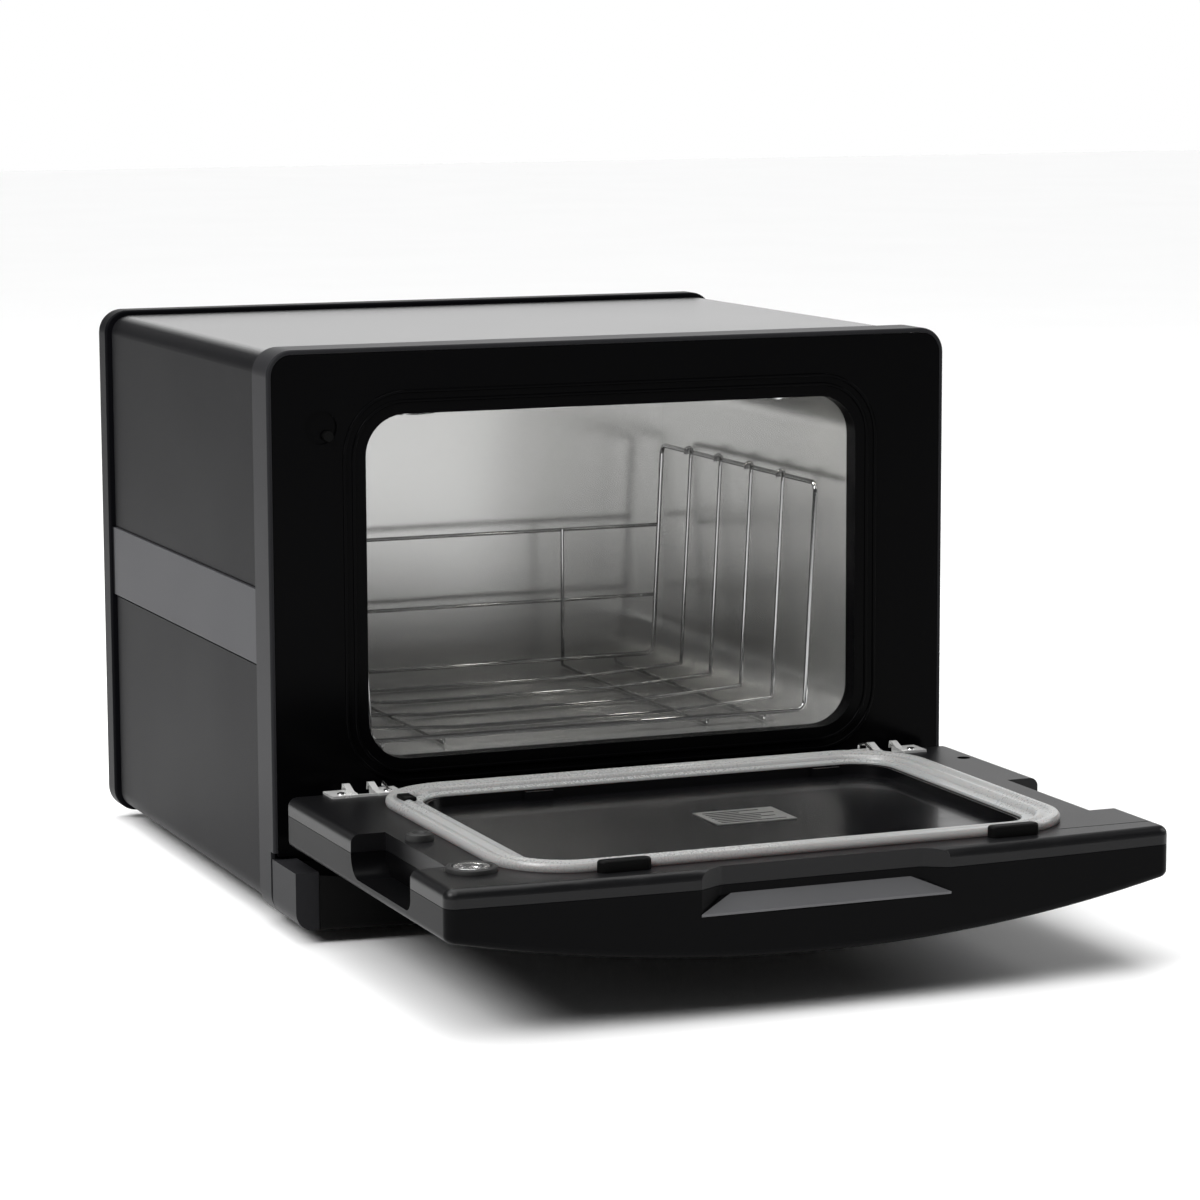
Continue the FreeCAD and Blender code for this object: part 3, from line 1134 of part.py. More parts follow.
# ---------------------------------------------------------------- hinges
RIGHTWARDS = Vector(1, 0, 0)
axis_y, axis_z, pin = -cell(pivot_out), cell(pivot_up), cell(pin_radius)
eye = pin + cell(boss_wall)
bracket_y = cell(panel_wall) + gap + hair
wing_z = z_face + cell(plate_wall)
channel_near, channel_far = near_y - cell(edge_gap), near_y - cell(room_deep) + cell(edge_gap)
channel_low = axis_z - eye - over
for side, name in ((-1, "left"), (1, "right")):
    middle = side * cell(hinge_out)
    thick, tall = cell(tongue_half), cell(tongue_rise)
    tongue = box_shape(middle - thick, middle + thick, axis_y, bracket_y + over, axis_z - tall,
                       axis_z + tall)
    tongue = tongue.fuse(Part.makeCylinder(eye, 2 * thick, Vector(middle - thick, axis_y, axis_z),
                                           RIGHTWARDS))
    foot_plate = box_shape(middle - cell(foot_half), middle + cell(foot_half), bracket_y,
                           bracket_y + cell(foot_wall), axis_z - cell(foot_tall),
                           axis_z + cell(foot_tall))
    reach = cell(pin_length) / 2
    pin_at = Vector(middle - reach, axis_y, axis_z)
    bore = Part.makeCylinder(pin + cell(running), 2 * reach, pin_at, RIGHTWARDS)
    solid_part(f"hinge_bracket_{name}", tongue.fuse(foot_plate).cut(bore))
    leaf = cell(hinge_sheet) / 2
    cheeks = [box_shape(middle + k * cell(cheek_out) - leaf, middle + k * cell(cheek_out) + leaf,
                        channel_far, channel_near, channel_low, wing_z) for k in (-1, 1)]
    wings = [box_shape(middle + k * cell(wing_out) - cell(wing_half),
                       middle + k * cell(wing_out) + cell(wing_half), near_y - cell(wing_deep),
                       channel_near, z_face, wing_z) for k in (-1, 1)]
    across = cell(cheek_out) + leaf
    web = box_shape(middle - across, middle + across, channel_far - cell(plate_wall) / 2,
                    channel_far + cell(plate_wall) / 2, channel_low, wing_z)
    channel = cheeks[0].fuse([cheeks[1], web] + wings)
    solid_part(f"hinge_channel_{name}", channel.cut(
        Part.makeCylinder(pin, 2 * reach, pin_at, RIGHTWARDS)))
    solid_part(f"hinge_pin_{name}", Part.makeCylinder(pin, 2 * reach, pin_at, RIGHTWARDS))
screws = [Part.makeCylinder(cell(screw_radius), cell(screw_rise),
                            Vector(side * cell(hinge_out) + k * cell(wing_out),
                                   near_y - cell(screw_in), wing_z))
          for side in (-1, 1) for k in (-1, 1)]
solid_part("hinge_screws", Part.makeCompound(screws))


# ---------------------------------------------------------------- the basket
def wire_run(points, thickness, bends=()):
    """A round wire along corner points, each inner corner bent to its own radius."""
    edges = []
    start = points[0]
    for k, bend in zip(range(1, len(points) - 1), bends):
        before = (points[k - 1] - points[k]).normalize()
        after = (points[k + 1] - points[k]).normalize()
        half_angle = before.getAngle(after) / 2
        back = bend / math.tan(half_angle)
        first = points[k] + before * back
        last = points[k] + after * back
        inward = (before + after).normalize()
        centre = points[k] + inward * (bend / math.sin(half_angle))
        edges.append(Part.makeLine(start, first))
        edges.append(Part.Arc(first, centre - inward * bend, last).toShape())
        start = last
    edges.append(Part.makeLine(start, points[-1]))
    tangent = (edges[0].Vertexes[-1].Point - edges[0].Vertexes[0].Point).normalize()
    profile = Part.Wire([Part.makeCircle(thickness / 2, points[0], tangent)])
    return Part.Wire(edges).makePipeShell([profile], True, False)


thick, thin, slim = cell(wire), cell(thin_wire), cell(runner_wire)
shift = cell(basket_shift)
top_out = cell(mouth_half - basket_clear)
floor_out = top_out - cell(basket_taper)
wire_z = cell(mouth_low + basket_stand)
rim_z = cell(mouth_top - basket_head)
front_y = cell(basket_front)
rear_y = cell(cavity_depth - basket_back)
bend, turn = cell(wire_bend), cell(rail_bend)
hoops = 6


def at(out, y, z):
    """A point of the basket, measured sideways from the basket's own middle."""
    return Vector(shift + out, y, z)


wires = []
for side in (-1, 1):
    wires.append(wire_run([at(0, front_y, wire_z), at(side * floor_out, front_y, wire_z),
                           at(side * top_out, front_y, rim_z), at(side * top_out, rear_y, rim_z),
                           at(side * floor_out, rear_y, wire_z), at(0, rear_y, wire_z)],
                          thick, (bend, turn, turn, bend)))
for k in range(1, hoops - 1):
    y = front_y + (rear_y - front_y) * k / (hoops - 1)
    hang = wire_z - cell(hoop_sag)
    wires.append(wire_run([at(-top_out, y, rim_z), at(-floor_out, y, wire_z),
                           at(-floor_out / 2, y, hang), at(floor_out / 2, y, hang),
                           at(floor_out, y, wire_z), at(top_out, y, rim_z)], thin,
                          (bend, cell(floor_bend), cell(floor_bend), bend)))
right_runner = floor_out - cell(runner_right)
left_runner = cell(runner_left) - floor_out
pair = cell(runner_gap)
low_z = wire_z - cell(runner_drop)
for out in (right_runner, right_runner - pair, left_runner, left_runner + pair):
    wires.append(wire_run([at(out, front_y, wire_z), at(out, front_y, low_z),
                           at(out, rear_y, low_z), at(out, rear_y, wire_z)], slim, (slim, slim)))
for up in (cell(rail_first), cell(rail_second)):
    out = floor_out + (top_out - floor_out) * up / (rim_z - wire_z)
    wires.append(wire_run([at(-out, rear_y, wire_z + up), at(out, rear_y, wire_z + up)], thin))
for out in (right_runner - pair, left_runner + pair):
    upright_y = rear_y - thin / 3
    wires.append(wire_run([at(out, upright_y, wire_z - thin / 4),
                           at(out, upright_y, wire_z + cell(rail_second) + thin / 4)], thin))
basket = wires[0]
for run in wires[1:]:
    basket = basket.fuse(run)
solid_part("wire_basket", basket)


# ---------------------------------------------------------------- the drip tray
def bowed_block(left, right, front, back, bow, low, high):
    """A block with a bowed front, for the tray's outside and for its hollow."""
    arc = Part.Arc(Vector(left, front, low), Vector((left + right) / 2, front - bow, low),
                   Vector(right, front, low))
    wire = Part.Wire([arc.toShape(), Part.makeLine(Vector(right, front, low), Vector(right, back, low)),
                      Part.makeLine(Vector(right, back, low), Vector(left, back, low)),
                      Part.makeLine(Vector(left, back, low), Vector(left, front, low))])
    return Part.Face(wire).extrude(Vector(0, 0, high - low))


tray_x = cell(half - joint_gap)
cap_x = tray_x - cell(cap_width)
cap_front, cap_back = -cell(tray_out), cell(tray_back)
tray_front = cap_front - cell(tray_step)
tray_bottom, ends_top, middle_top = cell(tray_low), cell(cap_high), cell(tray_high)
wall = cell(plastic)
tray = bowed_block(-cap_x, cap_x, tray_front, cap_back, cell(tray_crown), tray_bottom, ends_top)
tray = tray.cut(bowed_block(wall - cap_x, cap_x - wall, tray_front + wall, cap_back - wall,
                            cell(tray_crown), tray_bottom + wall, ends_top + over))
# the top edge dips towards the middle to stay clear of the door's bowed face
dip = Part.Arc(Vector(-tray_x, 0, ends_top), Vector(0, 0, middle_top), Vector(tray_x, 0, ends_top))
sky = ends_top + cell(tray_out)
above = Part.Wire([dip.toShape(),
                   Part.makeLine(Vector(tray_x, 0, ends_top), Vector(tray_x, 0, sky)),
                   Part.makeLine(Vector(tray_x, 0, sky), Vector(-tray_x, 0, sky)),
                   Part.makeLine(Vector(-tray_x, 0, sky), Vector(-tray_x, 0, ends_top))])
clear = Part.Face(above).extrude(Vector(0, 3 * cell(tray_out), 0))
clear.translate(Vector(0, -2 * cell(tray_out), 0))
tray = tray.cut(clear)
tray = round_edges(tray, cell(tray_round), lambda e: lies_at(e, "Z", tray_bottom) and
                   e.BoundBox.YMax < cap_front)
solid_part("drip_tray", tray)
caps = []
for side in (-1, 1):
    ends = sorted((side * (cap_x + hair), side * tray_x))
    cap = box_shape(*ends, cap_front, cap_back, tray_bottom, ends_top)
    caps.append(round_edges(cap, cell(cap_round), lambda e: spans(e, "Y", 30) and
                            e.BoundBox.ZMax < tray_bottom + over and
                            abs(e.BoundBox.Center.x) > cap_x + over))
solid_part("tray_end_caps", Part.makeCompound(caps))

# ---------------------------------------------------------------- check and write
doc.recompute()
for item in doc.Objects:
    if "Invalid" in item.State or "Error" in item.State:
        raise RuntimeError(f"{item.Label} did not build: {item.State}")
for item in nodes:
    if item.Shape.isNull() or not item.Shape.isValid() or not item.Shape.Solids:
        raise RuntimeError(f"{item.Label} has no sound shape")
for item in nodes:
    item.Shape.exportStep(f"parts/{item.Label}.step")
print(len(nodes), "sub-parts written")
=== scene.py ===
# %% [markdown]
# # A countertop oven with its door down
# The case, door, cavity, hinges and tray come as CAD nodes with their true sizes. Blender adds what
# CAD is poor at: finishes, rolled edges, bent wire and pressed metal. Loading the frame first means
# that every place below is read from the parts themselves, and nothing has to be fitted by eye.

# %% Load the frame
import math

import bmesh
import bpy
from mathutils import Matrix, Vector


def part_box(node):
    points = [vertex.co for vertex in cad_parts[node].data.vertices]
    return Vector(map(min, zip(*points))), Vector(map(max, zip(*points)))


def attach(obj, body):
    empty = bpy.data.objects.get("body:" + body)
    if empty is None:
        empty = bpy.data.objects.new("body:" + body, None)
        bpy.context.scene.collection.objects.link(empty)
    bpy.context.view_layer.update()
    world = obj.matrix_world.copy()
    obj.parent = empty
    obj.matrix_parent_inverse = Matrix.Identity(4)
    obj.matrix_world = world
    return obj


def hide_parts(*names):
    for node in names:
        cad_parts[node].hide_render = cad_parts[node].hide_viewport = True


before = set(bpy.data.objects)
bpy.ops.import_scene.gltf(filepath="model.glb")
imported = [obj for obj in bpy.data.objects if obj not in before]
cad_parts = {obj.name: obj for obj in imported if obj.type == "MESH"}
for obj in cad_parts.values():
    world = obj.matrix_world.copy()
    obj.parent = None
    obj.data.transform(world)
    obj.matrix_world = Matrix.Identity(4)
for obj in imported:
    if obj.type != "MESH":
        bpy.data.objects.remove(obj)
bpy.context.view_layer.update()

scene = bpy.context.scene
MM = 0.001

# %% [markdown]
# ## Camera
# A long lens a little above the oven and to its left shows the open door, the cavity and one side at
# once. The direction is built from a heading and a tilt, because two angles are easier to read and
# to change than a matrix of nine numbers.

# %% Camera
heading, tilt, roll = math.radians(22.03), math.radians(8.29), math.radians(-0.22)
eye = Vector((-0.8802, -2.1482, 0.5201))
ahead = Vector((math.sin(heading) * math.cos(tilt), math.cos(heading) * math.cos(tilt), -math.sin(tilt)))
camera = bpy.data.objects.new("camera", bpy.data.cameras.new("camera"))
camera.data.lens = 118.6
camera.data.sensor_width = 36.0
camera.matrix_world = (Matrix.Translation(eye) @ ahead.to_track_quat("-Z", "Y").to_matrix().to_4x4()
                       @ Matrix.Rotation(roll, 4, "Z"))
scene.collection.objects.link(camera)
scene.camera = camera
print("camera", tuple(round(v, 3) for v in eye), "lens", camera.data.lens)

# %% [markdown]
# ## Sums on sockets
# Every finish below is a few sums on a noise: mix it, sharpen it, use it as height. Adding one Math
# node for each sign is slow to read, so a small class wraps a socket and lets Python's own signs
# write those nodes. A second class holds a node tree and adds any other node by its type, and a third
# is a material on such a tree.


# %% Flow, Nodes and Finish
class Flow:
    """A node's output that takes part in sums; each sign adds one Math node."""

    def __init__(self, tree, socket):
        self.tree = tree
        self.socket = socket

    def sum_with(self, operation, other, turned=False):
        node = self.tree.nodes.new("ShaderNodeMath")
        node.operation = operation
        pair = (other, self) if turned else (self, other)
        for slot_in, value in zip(node.inputs, pair):
            if isinstance(value, Flow):
                self.tree.links.new(value.socket, slot_in)
            else:
                slot_in.default_value = value
        return Flow(self.tree, node.outputs[0])

    def __add__(self, other):
        return self.sum_with("ADD", other)

    __radd__ = __add__

    def __sub__(self, other):
        return self.sum_with("SUBTRACT", other)

    def __rsub__(self, other):
        return self.sum_with("SUBTRACT", other, True)

    def __mul__(self, other):
        return self.sum_with("MULTIPLY", other)

    __rmul__ = __mul__

    def clamped(self):
        return self.sum_with("MINIMUM", 1.0).sum_with("MAXIMUM", 0.0)


class Nodes:
    """A node tree; node() adds any node to it and hands back its output."""

    def __init__(self, tree):
        self.tree = tree

    def node(self, kind, settings=None, inputs=None, output=0):
        made = self.tree.nodes.new(kind)
        for name, value in (settings or {}).items():
            if name == "stops":
                for stop, (position, grey) in zip(made.color_ramp.elements, value):
                    stop.position = position
                    stop.color = (grey, grey, grey, 1.0)
            else:
                setattr(made, name, value)
        for name, value in (inputs or {}).items():
            if isinstance(value, Flow):
                self.tree.links.new(value.socket, made.inputs[name])
            else:
                made.inputs[name].default_value = value
        return Flow(self.tree, made.outputs[output])


class Finish(Nodes):
    """A material on one Principled shader."""

    mix_factor, mix_dark, mix_light, mix_color = 0, 6, 7, 2

    def __init__(self, name, color, roughness, metallic=0.0, **uniform):
        self.material = bpy.data.materials.new(name)
        self.material.use_nodes = True
        super().__init__(self.material.node_tree)
        self.shader = self.tree.nodes["Principled BSDF"]
        self.shader.inputs["Base Color"].default_value = (*color, 1.0)
        self.shader.inputs["Roughness"].default_value = roughness
        self.shader.inputs["Metallic"].default_value = metallic
        for socket, value in uniform.items():
            label = socket.replace("_", " ").title().replace("Ior", "IOR")
            self.shader.inputs[label].default_value = value

    def place(self, scale=(1.0, 1.0, 1.0)):
        """Object coordinates in metres, stretched by scale."""
        where = self.node("ShaderNodeTexCoord", output="Object")
        return self.node("ShaderNodeMapping", inputs={"Vector": where, "Scale": scale})

    def axis(self, letter):
        """Distance along X, Y or Z in metres."""
        return self.node("ShaderNodeSeparateXYZ", inputs={"Vector": self.place()}, output=letter)

    def noise(self, scale, detail=2.0, stretch=(1.0, 1.0, 1.0)):
        return self.node("ShaderNodeTexNoise", inputs={
            "Vector": self.place(stretch), "Scale": scale, "Detail": detail})

    def drive(self, socket, flow):
        self.tree.links.new(flow.socket, self.shader.inputs[socket])
        return self

    def shades(self, dark, light, flow):
        """Base colour that wanders between two colours."""
        return self.drive("Base Color", self.node("ShaderNodeMix", {"data_type": "RGBA"}, {
            self.mix_factor: flow, self.mix_dark: (*dark, 1.0), self.mix_light: (*light, 1.0)},
            self.mix_color))

    def relief(self, height, depth):
        return self.drive("Normal", self.node("ShaderNodeBump", inputs={
            "Height": height, "Distance": depth, "Strength": 1.0}))


print("helpers ready")

# %% [markdown]
# ## Floor and light
# The oven is nearly black, so what is seen of it is mostly what it mirrors. A white floor and large
# soft lamps give long, calm reflections along the bezel, the roof and the door. The sky lights the
# oven from behind and is dark in front of it, so that the gloss front stays deep black while the top
# still shines; the camera itself sees white all round. An even white sky is simpler, but it turns
# every black face grey.

# %% Floor and light
floor_reach = 12.0
floor_mesh = bmesh.new()
bmesh.ops.create_grid(floor_mesh, x_segments=1, y_segments=1, size=floor_reach)
floor_data = bpy.data.meshes.new("floor")
floor_mesh.to_mesh(floor_data)
floor_mesh.free()
floor = bpy.data.objects.new("floor", floor_data)
scene.collection.objects.link(floor)

world = bpy.data.worlds.new("studio")
scene.world = world
world.use_nodes = True
sky = Nodes(world.node_tree)
behind_oven = (0.375, 0.927, 0.0)
front_grey, edge_of_front, edge_of_white = 0.10, 0.80, 0.96
toward = sky.node("ShaderNodeTexCoord", output="Generated")
behind = sky.node("ShaderNodeVectorMath", {"operation": "DOT_PRODUCT"}, {0: toward, 1: behind_oven},
                  "Value")
shade = sky.node("ShaderNodeValToRGB", {"stops": ((edge_of_front, front_grey), (edge_of_white, 1.0))},
                 {"Fac": behind})
seen = sky.node("ShaderNodeLightPath", output="Is Camera Ray")
backdrop = world.node_tree.nodes["Background"]
world.node_tree.links.new(shade.sum_with("MAXIMUM", seen).socket, backdrop.inputs["Color"])
backdrop.inputs["Strength"].default_value = 1.0
scene.view_settings.view_transform = "Standard"


def area_light(name, place, target, size, power):
    """A soft square lamp at a place, turned towards a target."""
    data = bpy.data.lights.new(name, "AREA")
    data.shape = "SQUARE"
    data.size = size
    data.energy = power
    lamp = bpy.data.objects.new(name, data)
    lamp.location = place
    lamp.rotation_mode = "QUATERNION"
    lamp.rotation_quaternion = (Vector(target) - Vector(place)).to_track_quat("-Z", "Y")
    scene.collection.objects.link(lamp)


area_light("key", (-2.2, -0.9, 2.0), (0, 0.0, 0.15), 1.2, 42)
area_light("top", (0.3, 0.9, 2.6), (0, 0, 0.2), 2.2, 30)
area_light("right", (2.4, -0.2, 1.3), (0, -0.1, 0.1), 1.0, 16)
daylight = bpy.data.objects.new("daylight", bpy.data.lights.new("daylight", "SUN"))
daylight.data.energy = 3.2
daylight.data.angle = math.radians(70)
daylight.rotation_mode = "QUATERNION"
daylight.rotation_quaternion = Vector((0.35, 0.1, -1.0)).to_track_quat("-Z", "Y")
scene.collection.objects.link(daylight)

# %% [markdown]
# ## Moulded and painted finishes
# The wrap has a fine pebble grain, the bezel and rear frame a smoother spark-eroded one, and the
# door's liner sits between the two. All three are the same recipe with another scale: a noise for
# height, and a slow noise that shifts the roughness so that large faces aren't dead even. A voronoi
# pattern would make clearer pebbles, but at this distance it reads as scales. The wrap also gets a
# clear coat on its roof only, because that is the face which shines in a low light from behind. The
# rear frame's ring carries painted shade: it is coloured darker than the frame's arms, for the shadow
# that falls on its front face.


# %% Moulded finishes
def grained(name, dark, light, roughness, grain, depth, shade=None, **uniform):
    """A moulded or coated finish: fine grain in height, slow drift in shade and roughness."""
    drift = 0.1
    made = Finish(name, light, roughness, **uniform)
    fine = made.noise(grain, 3.0)
    slow = made.noise(9.0, 2.0)
    made.shades(dark, light, shade(made) if shade else (fine * 0.5 + slow * 0.5).clamped())
    made.drive("Roughness", (fine - 0.5) * drift + (slow - 0.5) * drift + roughness)
    return made.relief(fine, depth)


def ring_painted_shade(finish):
    """Painted shade mask: 0 on the rear frame's arms and 1 on its ring, which starts where the wrap
    ends; the ring is painted dark for the shadow on its front face.
    """
    ring_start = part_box("upper_wrap")[1][1]
    per_metre = 900.0
    return ((finish.axis("Y") - ring_start) * per_metre).clamped()


floor_finish = Finish("floor_white", (0.93, 0.93, 0.93), 0.6)
floor_finish.shades((0.92, 0.92, 0.92), (0.95, 0.95, 0.95), floor_finish.noise(3.0))
floor_data.materials.append(floor_finish.material)

wrap_coat = grained("wrap_coat", (0.0025, 0.0025, 0.003), (0.011, 0.011, 0.012), 0.34, 1100.0,
                    0.00010, specular_ior_level=0.02, coat_roughness=0.22)
roof_band, roof_z, roof_rise = 3.0 * MM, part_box("upper_wrap")[1][2], 400.0
wrap_coat.drive("Coat Weight", ((wrap_coat.axis("Z") - (roof_z - roof_band)) * roof_rise).clamped())
grey_mould = grained("grey_mould", (0.014, 0.014, 0.015), (0.022, 0.022, 0.024), 0.32, 2200.0,
                     0.00003, specular_ior_level=0.03)
# Painted shade: the ring takes the near-black second colour and the arms the lighter first one, for the
# shadow on the ring.
frame_mould = grained("frame_mould", (0.060, 0.060, 0.064), (0.004, 0.004, 0.005), 0.36, 2200.0,
                      0.00003, ring_painted_shade, specular_ior_level=0.03)
black_mould = grained("black_mould", (0.0015, 0.0015, 0.0015), (0.004, 0.004, 0.004), 0.5, 2200.0,
                      0.00004, specular_ior_level=0.06)
liner_mould = grained("liner_mould", (0.002, 0.002, 0.0025), (0.006, 0.006, 0.0065), 0.34, 1800.0,
                      0.00005, specular_ior_level=0.22)
shell_mould = grained("shell_mould", (0.0008, 0.0008, 0.001), (0.003, 0.003, 0.0033), 0.30, 2400.0,
                      0.00002, specular_ior_level=0.04)
rubber_black = grained("rubber_black", (0.003, 0.003, 0.003), (0.008, 0.008, 0.008), 0.62, 1500.0,
                       0.00006)
silicone = grained("silicone", (0.24, 0.24, 0.238), (0.32, 0.32, 0.318), 0.28, 700.0, 0.00002,
                   subsurface_weight=0.05)
trim_paint = grained("trim_paint", (0.075, 0.075, 0.078), (0.10, 0.10, 0.105), 0.33, 2500.0,
                     0.00002, metallic=0.4)
nylon = grained("nylon", (0.68, 0.68, 0.64), (0.78, 0.78, 0.74), 0.45, 500.0, 0.00003)
print("moulded finishes made")

# %% [markdown]
# ## Gloss black
# The front panel and the door's pan are seen by what they mirror. The pan gets a thin clear coat over
# a black body, like the two layers of enamel: a soft body and a sharp top. The panel and the display
# lens go without, because a coat would mirror the pale floor and turn them grey. The faint wipe marks
# are a stretched noise on the roughness only.


# %% Gloss black
def gloss(name, color, roughness, coat, ripple, shine):
    """A hard black finish with faint wipe marks and a slow ripple in its height."""
    made = Finish(name, color, roughness, coat_weight=coat, coat_roughness=0.06,
                  specular_ior_level=shine)
    wipe = made.noise(14.0, 3.0, (1.0, 3.0, 1.0))
    slow = made.noise(5.0, 2.0)
    made.shades(tuple(c * 0.8 for c in color), tuple(c * 1.3 for c in color), slow)
    made.drive("Roughness", (wipe - 0.5) * 0.12 + roughness)
    return made.relief(slow, ripple)


panel_gloss = gloss("panel_gloss", (0.0012, 0.0012, 0.0014), 0.18, 0.0, 0.0002, 0.03)
pan_gloss = gloss("pan_gloss", (0.002, 0.002, 0.0025), 0.24, 0.15, 0.0003, 0.35)
print("gloss finishes made")

# %% [markdown]
# ## Metals
# The cavity is satin sheet, rolled in one direction, so its noise is stretched along that direction
# and turns into fine lines in roughness and height. Wire and hinges are bright plated steel with
# only a trace of pitting. Anisotropy would need a fixed tangent on every face; stretched noise does
# the same work.


# %% Metals
def rolled(name, color, roughness, way, lines=900.0, depth=0.00002, spread=0.18, metallic=1.0):
    """Satin sheet metal with rolling lines that run along one axis."""
    stretch = tuple(0.02 if axis == way else 1.0 for axis in "XYZ")
    made = Finish(name, color, roughness, metallic)
    streak = made.noise(lines, 2.0, stretch)
    cloud = made.noise(16.0, 3.0)
    made.shades(tuple(c * 0.92 for c in color), color, (streak * 0.5 + cloud * 0.5).clamped())
    made.drive("Roughness", (streak - 0.5) * spread + (cloud - 0.5) * spread + roughness)
    return made.relief(streak, depth)


def plated(name, color, roughness, metallic=1.0):
    """Bright plating with faint pits and a slow drift in gloss."""
    made = Finish(name, color, roughness, metallic)
    pits = made.noise(900.0, 2.0)
    cloud = made.noise(40.0, 2.0)
    made.shades(tuple(c * 0.9 for c in color), color, cloud)
    made.drive("Roughness", (cloud - 0.5) * 0.12 + (pits - 0.5) * 0.06 + roughness)
    return made.relief(pits, 0.00001)


stainless = rolled("stainless", (0.74, 0.74, 0.73), 0.25, "X", 700.0, 0.000001, 0.02, 0.88)
zinc_sheet = rolled("zinc_sheet", (0.52, 0.53, 0.54), 0.45, "Z", 300.0)
alu_sheet = rolled("alu_sheet", (0.70, 0.70, 0.71), 0.35, "X")
heater_metal = rolled("heater_metal", (0.16, 0.15, 0.14), 0.5, "Z", 300.0)
chrome_wire = plated("chrome_wire", (0.42, 0.42, 0.42), 0.09)
hinge_steel = plated("hinge_steel", (0.86, 0.86, 0.85), 0.24, 0.5)
bright_steel = plated("bright_steel", (0.66, 0.66, 0.66), 0.22)
foil = rolled("label_foil", (0.62, 0.62, 0.61), 0.34, "X", 1200.0)
print("metals made")

# %% [markdown]
# ## Lamps, boards and blankets
# Few of these are seen, but each still gets its own surface: the lamp covers glow and light the
# steel round them, the board is lacquered green, the insulation is a matted yellow wool.

# %% Small finishes
lamp_glow = Finish("lamp_glow", (0.9, 0.88, 0.8), 0.3, emission_strength=20.0)
frost = lamp_glow.noise(300.0, 2.0)
lamp_glow.shades((0.85, 0.83, 0.76), (0.95, 0.93, 0.86), frost)
lamp_glow.shader.inputs["Emission Color"].default_value = (1.0, 0.97, 0.9, 1.0)
board = grained("board_lacquer", (0.01, 0.06, 0.03), (0.02, 0.12, 0.06), 0.35, 400.0, 0.00005)
wool = grained("glass_wool", (0.45, 0.40, 0.18), (0.70, 0.64, 0.38), 0.9, 220.0, 0.001)
print("small finishes made")

# %% [markdown]
# ## Dressing the CAD nodes
# A node keeps its shape and only gets a better finish, so one table of node and finish does it.

# %% Dress the nodes
dress = {
    "upper_wrap": wrap_coat, "lower_wrap": wrap_coat, "front_bezel": grey_mould,
    "rear_frame": frame_mould,
    "front_panel": panel_gloss, "lower_rail": black_mould, "rear_cover": zinc_sheet,
    "base_pan": zinc_sheet, "rubber_feet": rubber_black, "cord_gland": black_mould,
    "cavity_liner": stainless, "insulation_blanket": wool, "fan_housing": zinc_sheet,
    "fan_shaft": bright_steel, "fan_blade": alu_sheet, "fan_motor": bright_steel,
    "ring_heater": heater_metal, "fan_guard": stainless, "guard_posts": stainless,
    "cavity_lamps": lamp_glow, "switch_plunger": black_mould, "switch_body": black_mould,
    "power_board": board, "board_spacers": nylon, "terminal_block": nylon,
    "cavity_brackets": zinc_sheet, "door_outer_shell": shell_mould, "display_lens": panel_gloss,
    "door_inner_liner": liner_mould, "door_pan": pan_gloss, "door_seal": silicone,
    "seal_clips": black_mould, "strike_ring": rubber_black, "strike_plate": bright_steel,
    "door_bumper": rubber_black, "label_plate": foil, "handle_trim": trim_paint,
    "door_insulation": wool, "touch_board": board, "hinge_screws": bright_steel,
    "wire_basket": chrome_wire, "drip_tray": black_mould, "tray_end_caps": grey_mould,
}
for side in ("left", "right"):
    dress["hinge_bracket_" + side] = hinge_steel
    dress["hinge_channel_" + side] = hinge_steel
    dress["hinge_pin_" + side] = bright_steel
for name, finish in dress.items():
    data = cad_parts[name].data
    data.materials.clear()
    data.materials.append(finish.material)
print(len(dress), "nodes dressed;", sorted(set(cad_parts) - set(dress)), "left")

# %% [markdown]
# ## A few shaping helpers
# Most of what is added here is bent, turned or wrapped: wire, discs and the seal. Each helper starts
# from one outline and lets bmesh carry it: extrude it step by step along a line, spin it round an
# axis, or take it round the corners of a rounded rectangle. Curves with a bevel would do for the
# wire, but then its ends and joints couldn't be shaped.


# %% Shaping helpers
def finished(name, bm, finish, body, slot_name, *nodes, sharp=35.0):
    """Close a bmesh into a piece of the oven, smooth but for its sharp edges."""
    bmesh.ops.remove_doubles(bm, verts=bm.verts, dist=0.00001)
    bmesh.ops.recalc_face_normals(bm, faces=bm.faces)
    for face in bm.faces:
        face.smooth = True
    for edge in bm.edges:
        edge.smooth = len(edge.link_faces) == 2 and edge.calc_face_angle(0.0) < math.radians(sharp)
    data = bpy.data.meshes.new(name)
    bm.to_mesh(data)
    bm.free()
    data.materials.append(finish.material)
    made = bpy.data.objects.new(name, data)
    scene.collection.objects.link(made)
    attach(made, body)
    if nodes:
        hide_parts(*nodes)
    print(name, len(data.polygons), "faces")
    return made


def bent(points, radius, steps=6):
    """Corner points of a wire, each inner corner turned into a few points of an arc."""
    points = [Vector(p) for p in points]
    line = [points[0]]
    for before, here, after in zip(points, points[1:], points[2:]):
        to_before, to_after = (before - here).normalized(), (after - here).normalized()
        half_angle = to_before.angle(to_after) / 2
        back = radius / math.tan(half_angle)
        middle = here + (to_before + to_after).normalized() * (radius / math.sin(half_angle))
        start = (here + to_before * back - middle).normalized()
        end = (here + to_after * back - middle).normalized()
        line += [middle + start.slerp(end, k / steps) * radius for k in range(steps + 1)]
    return line + [points[-1]]


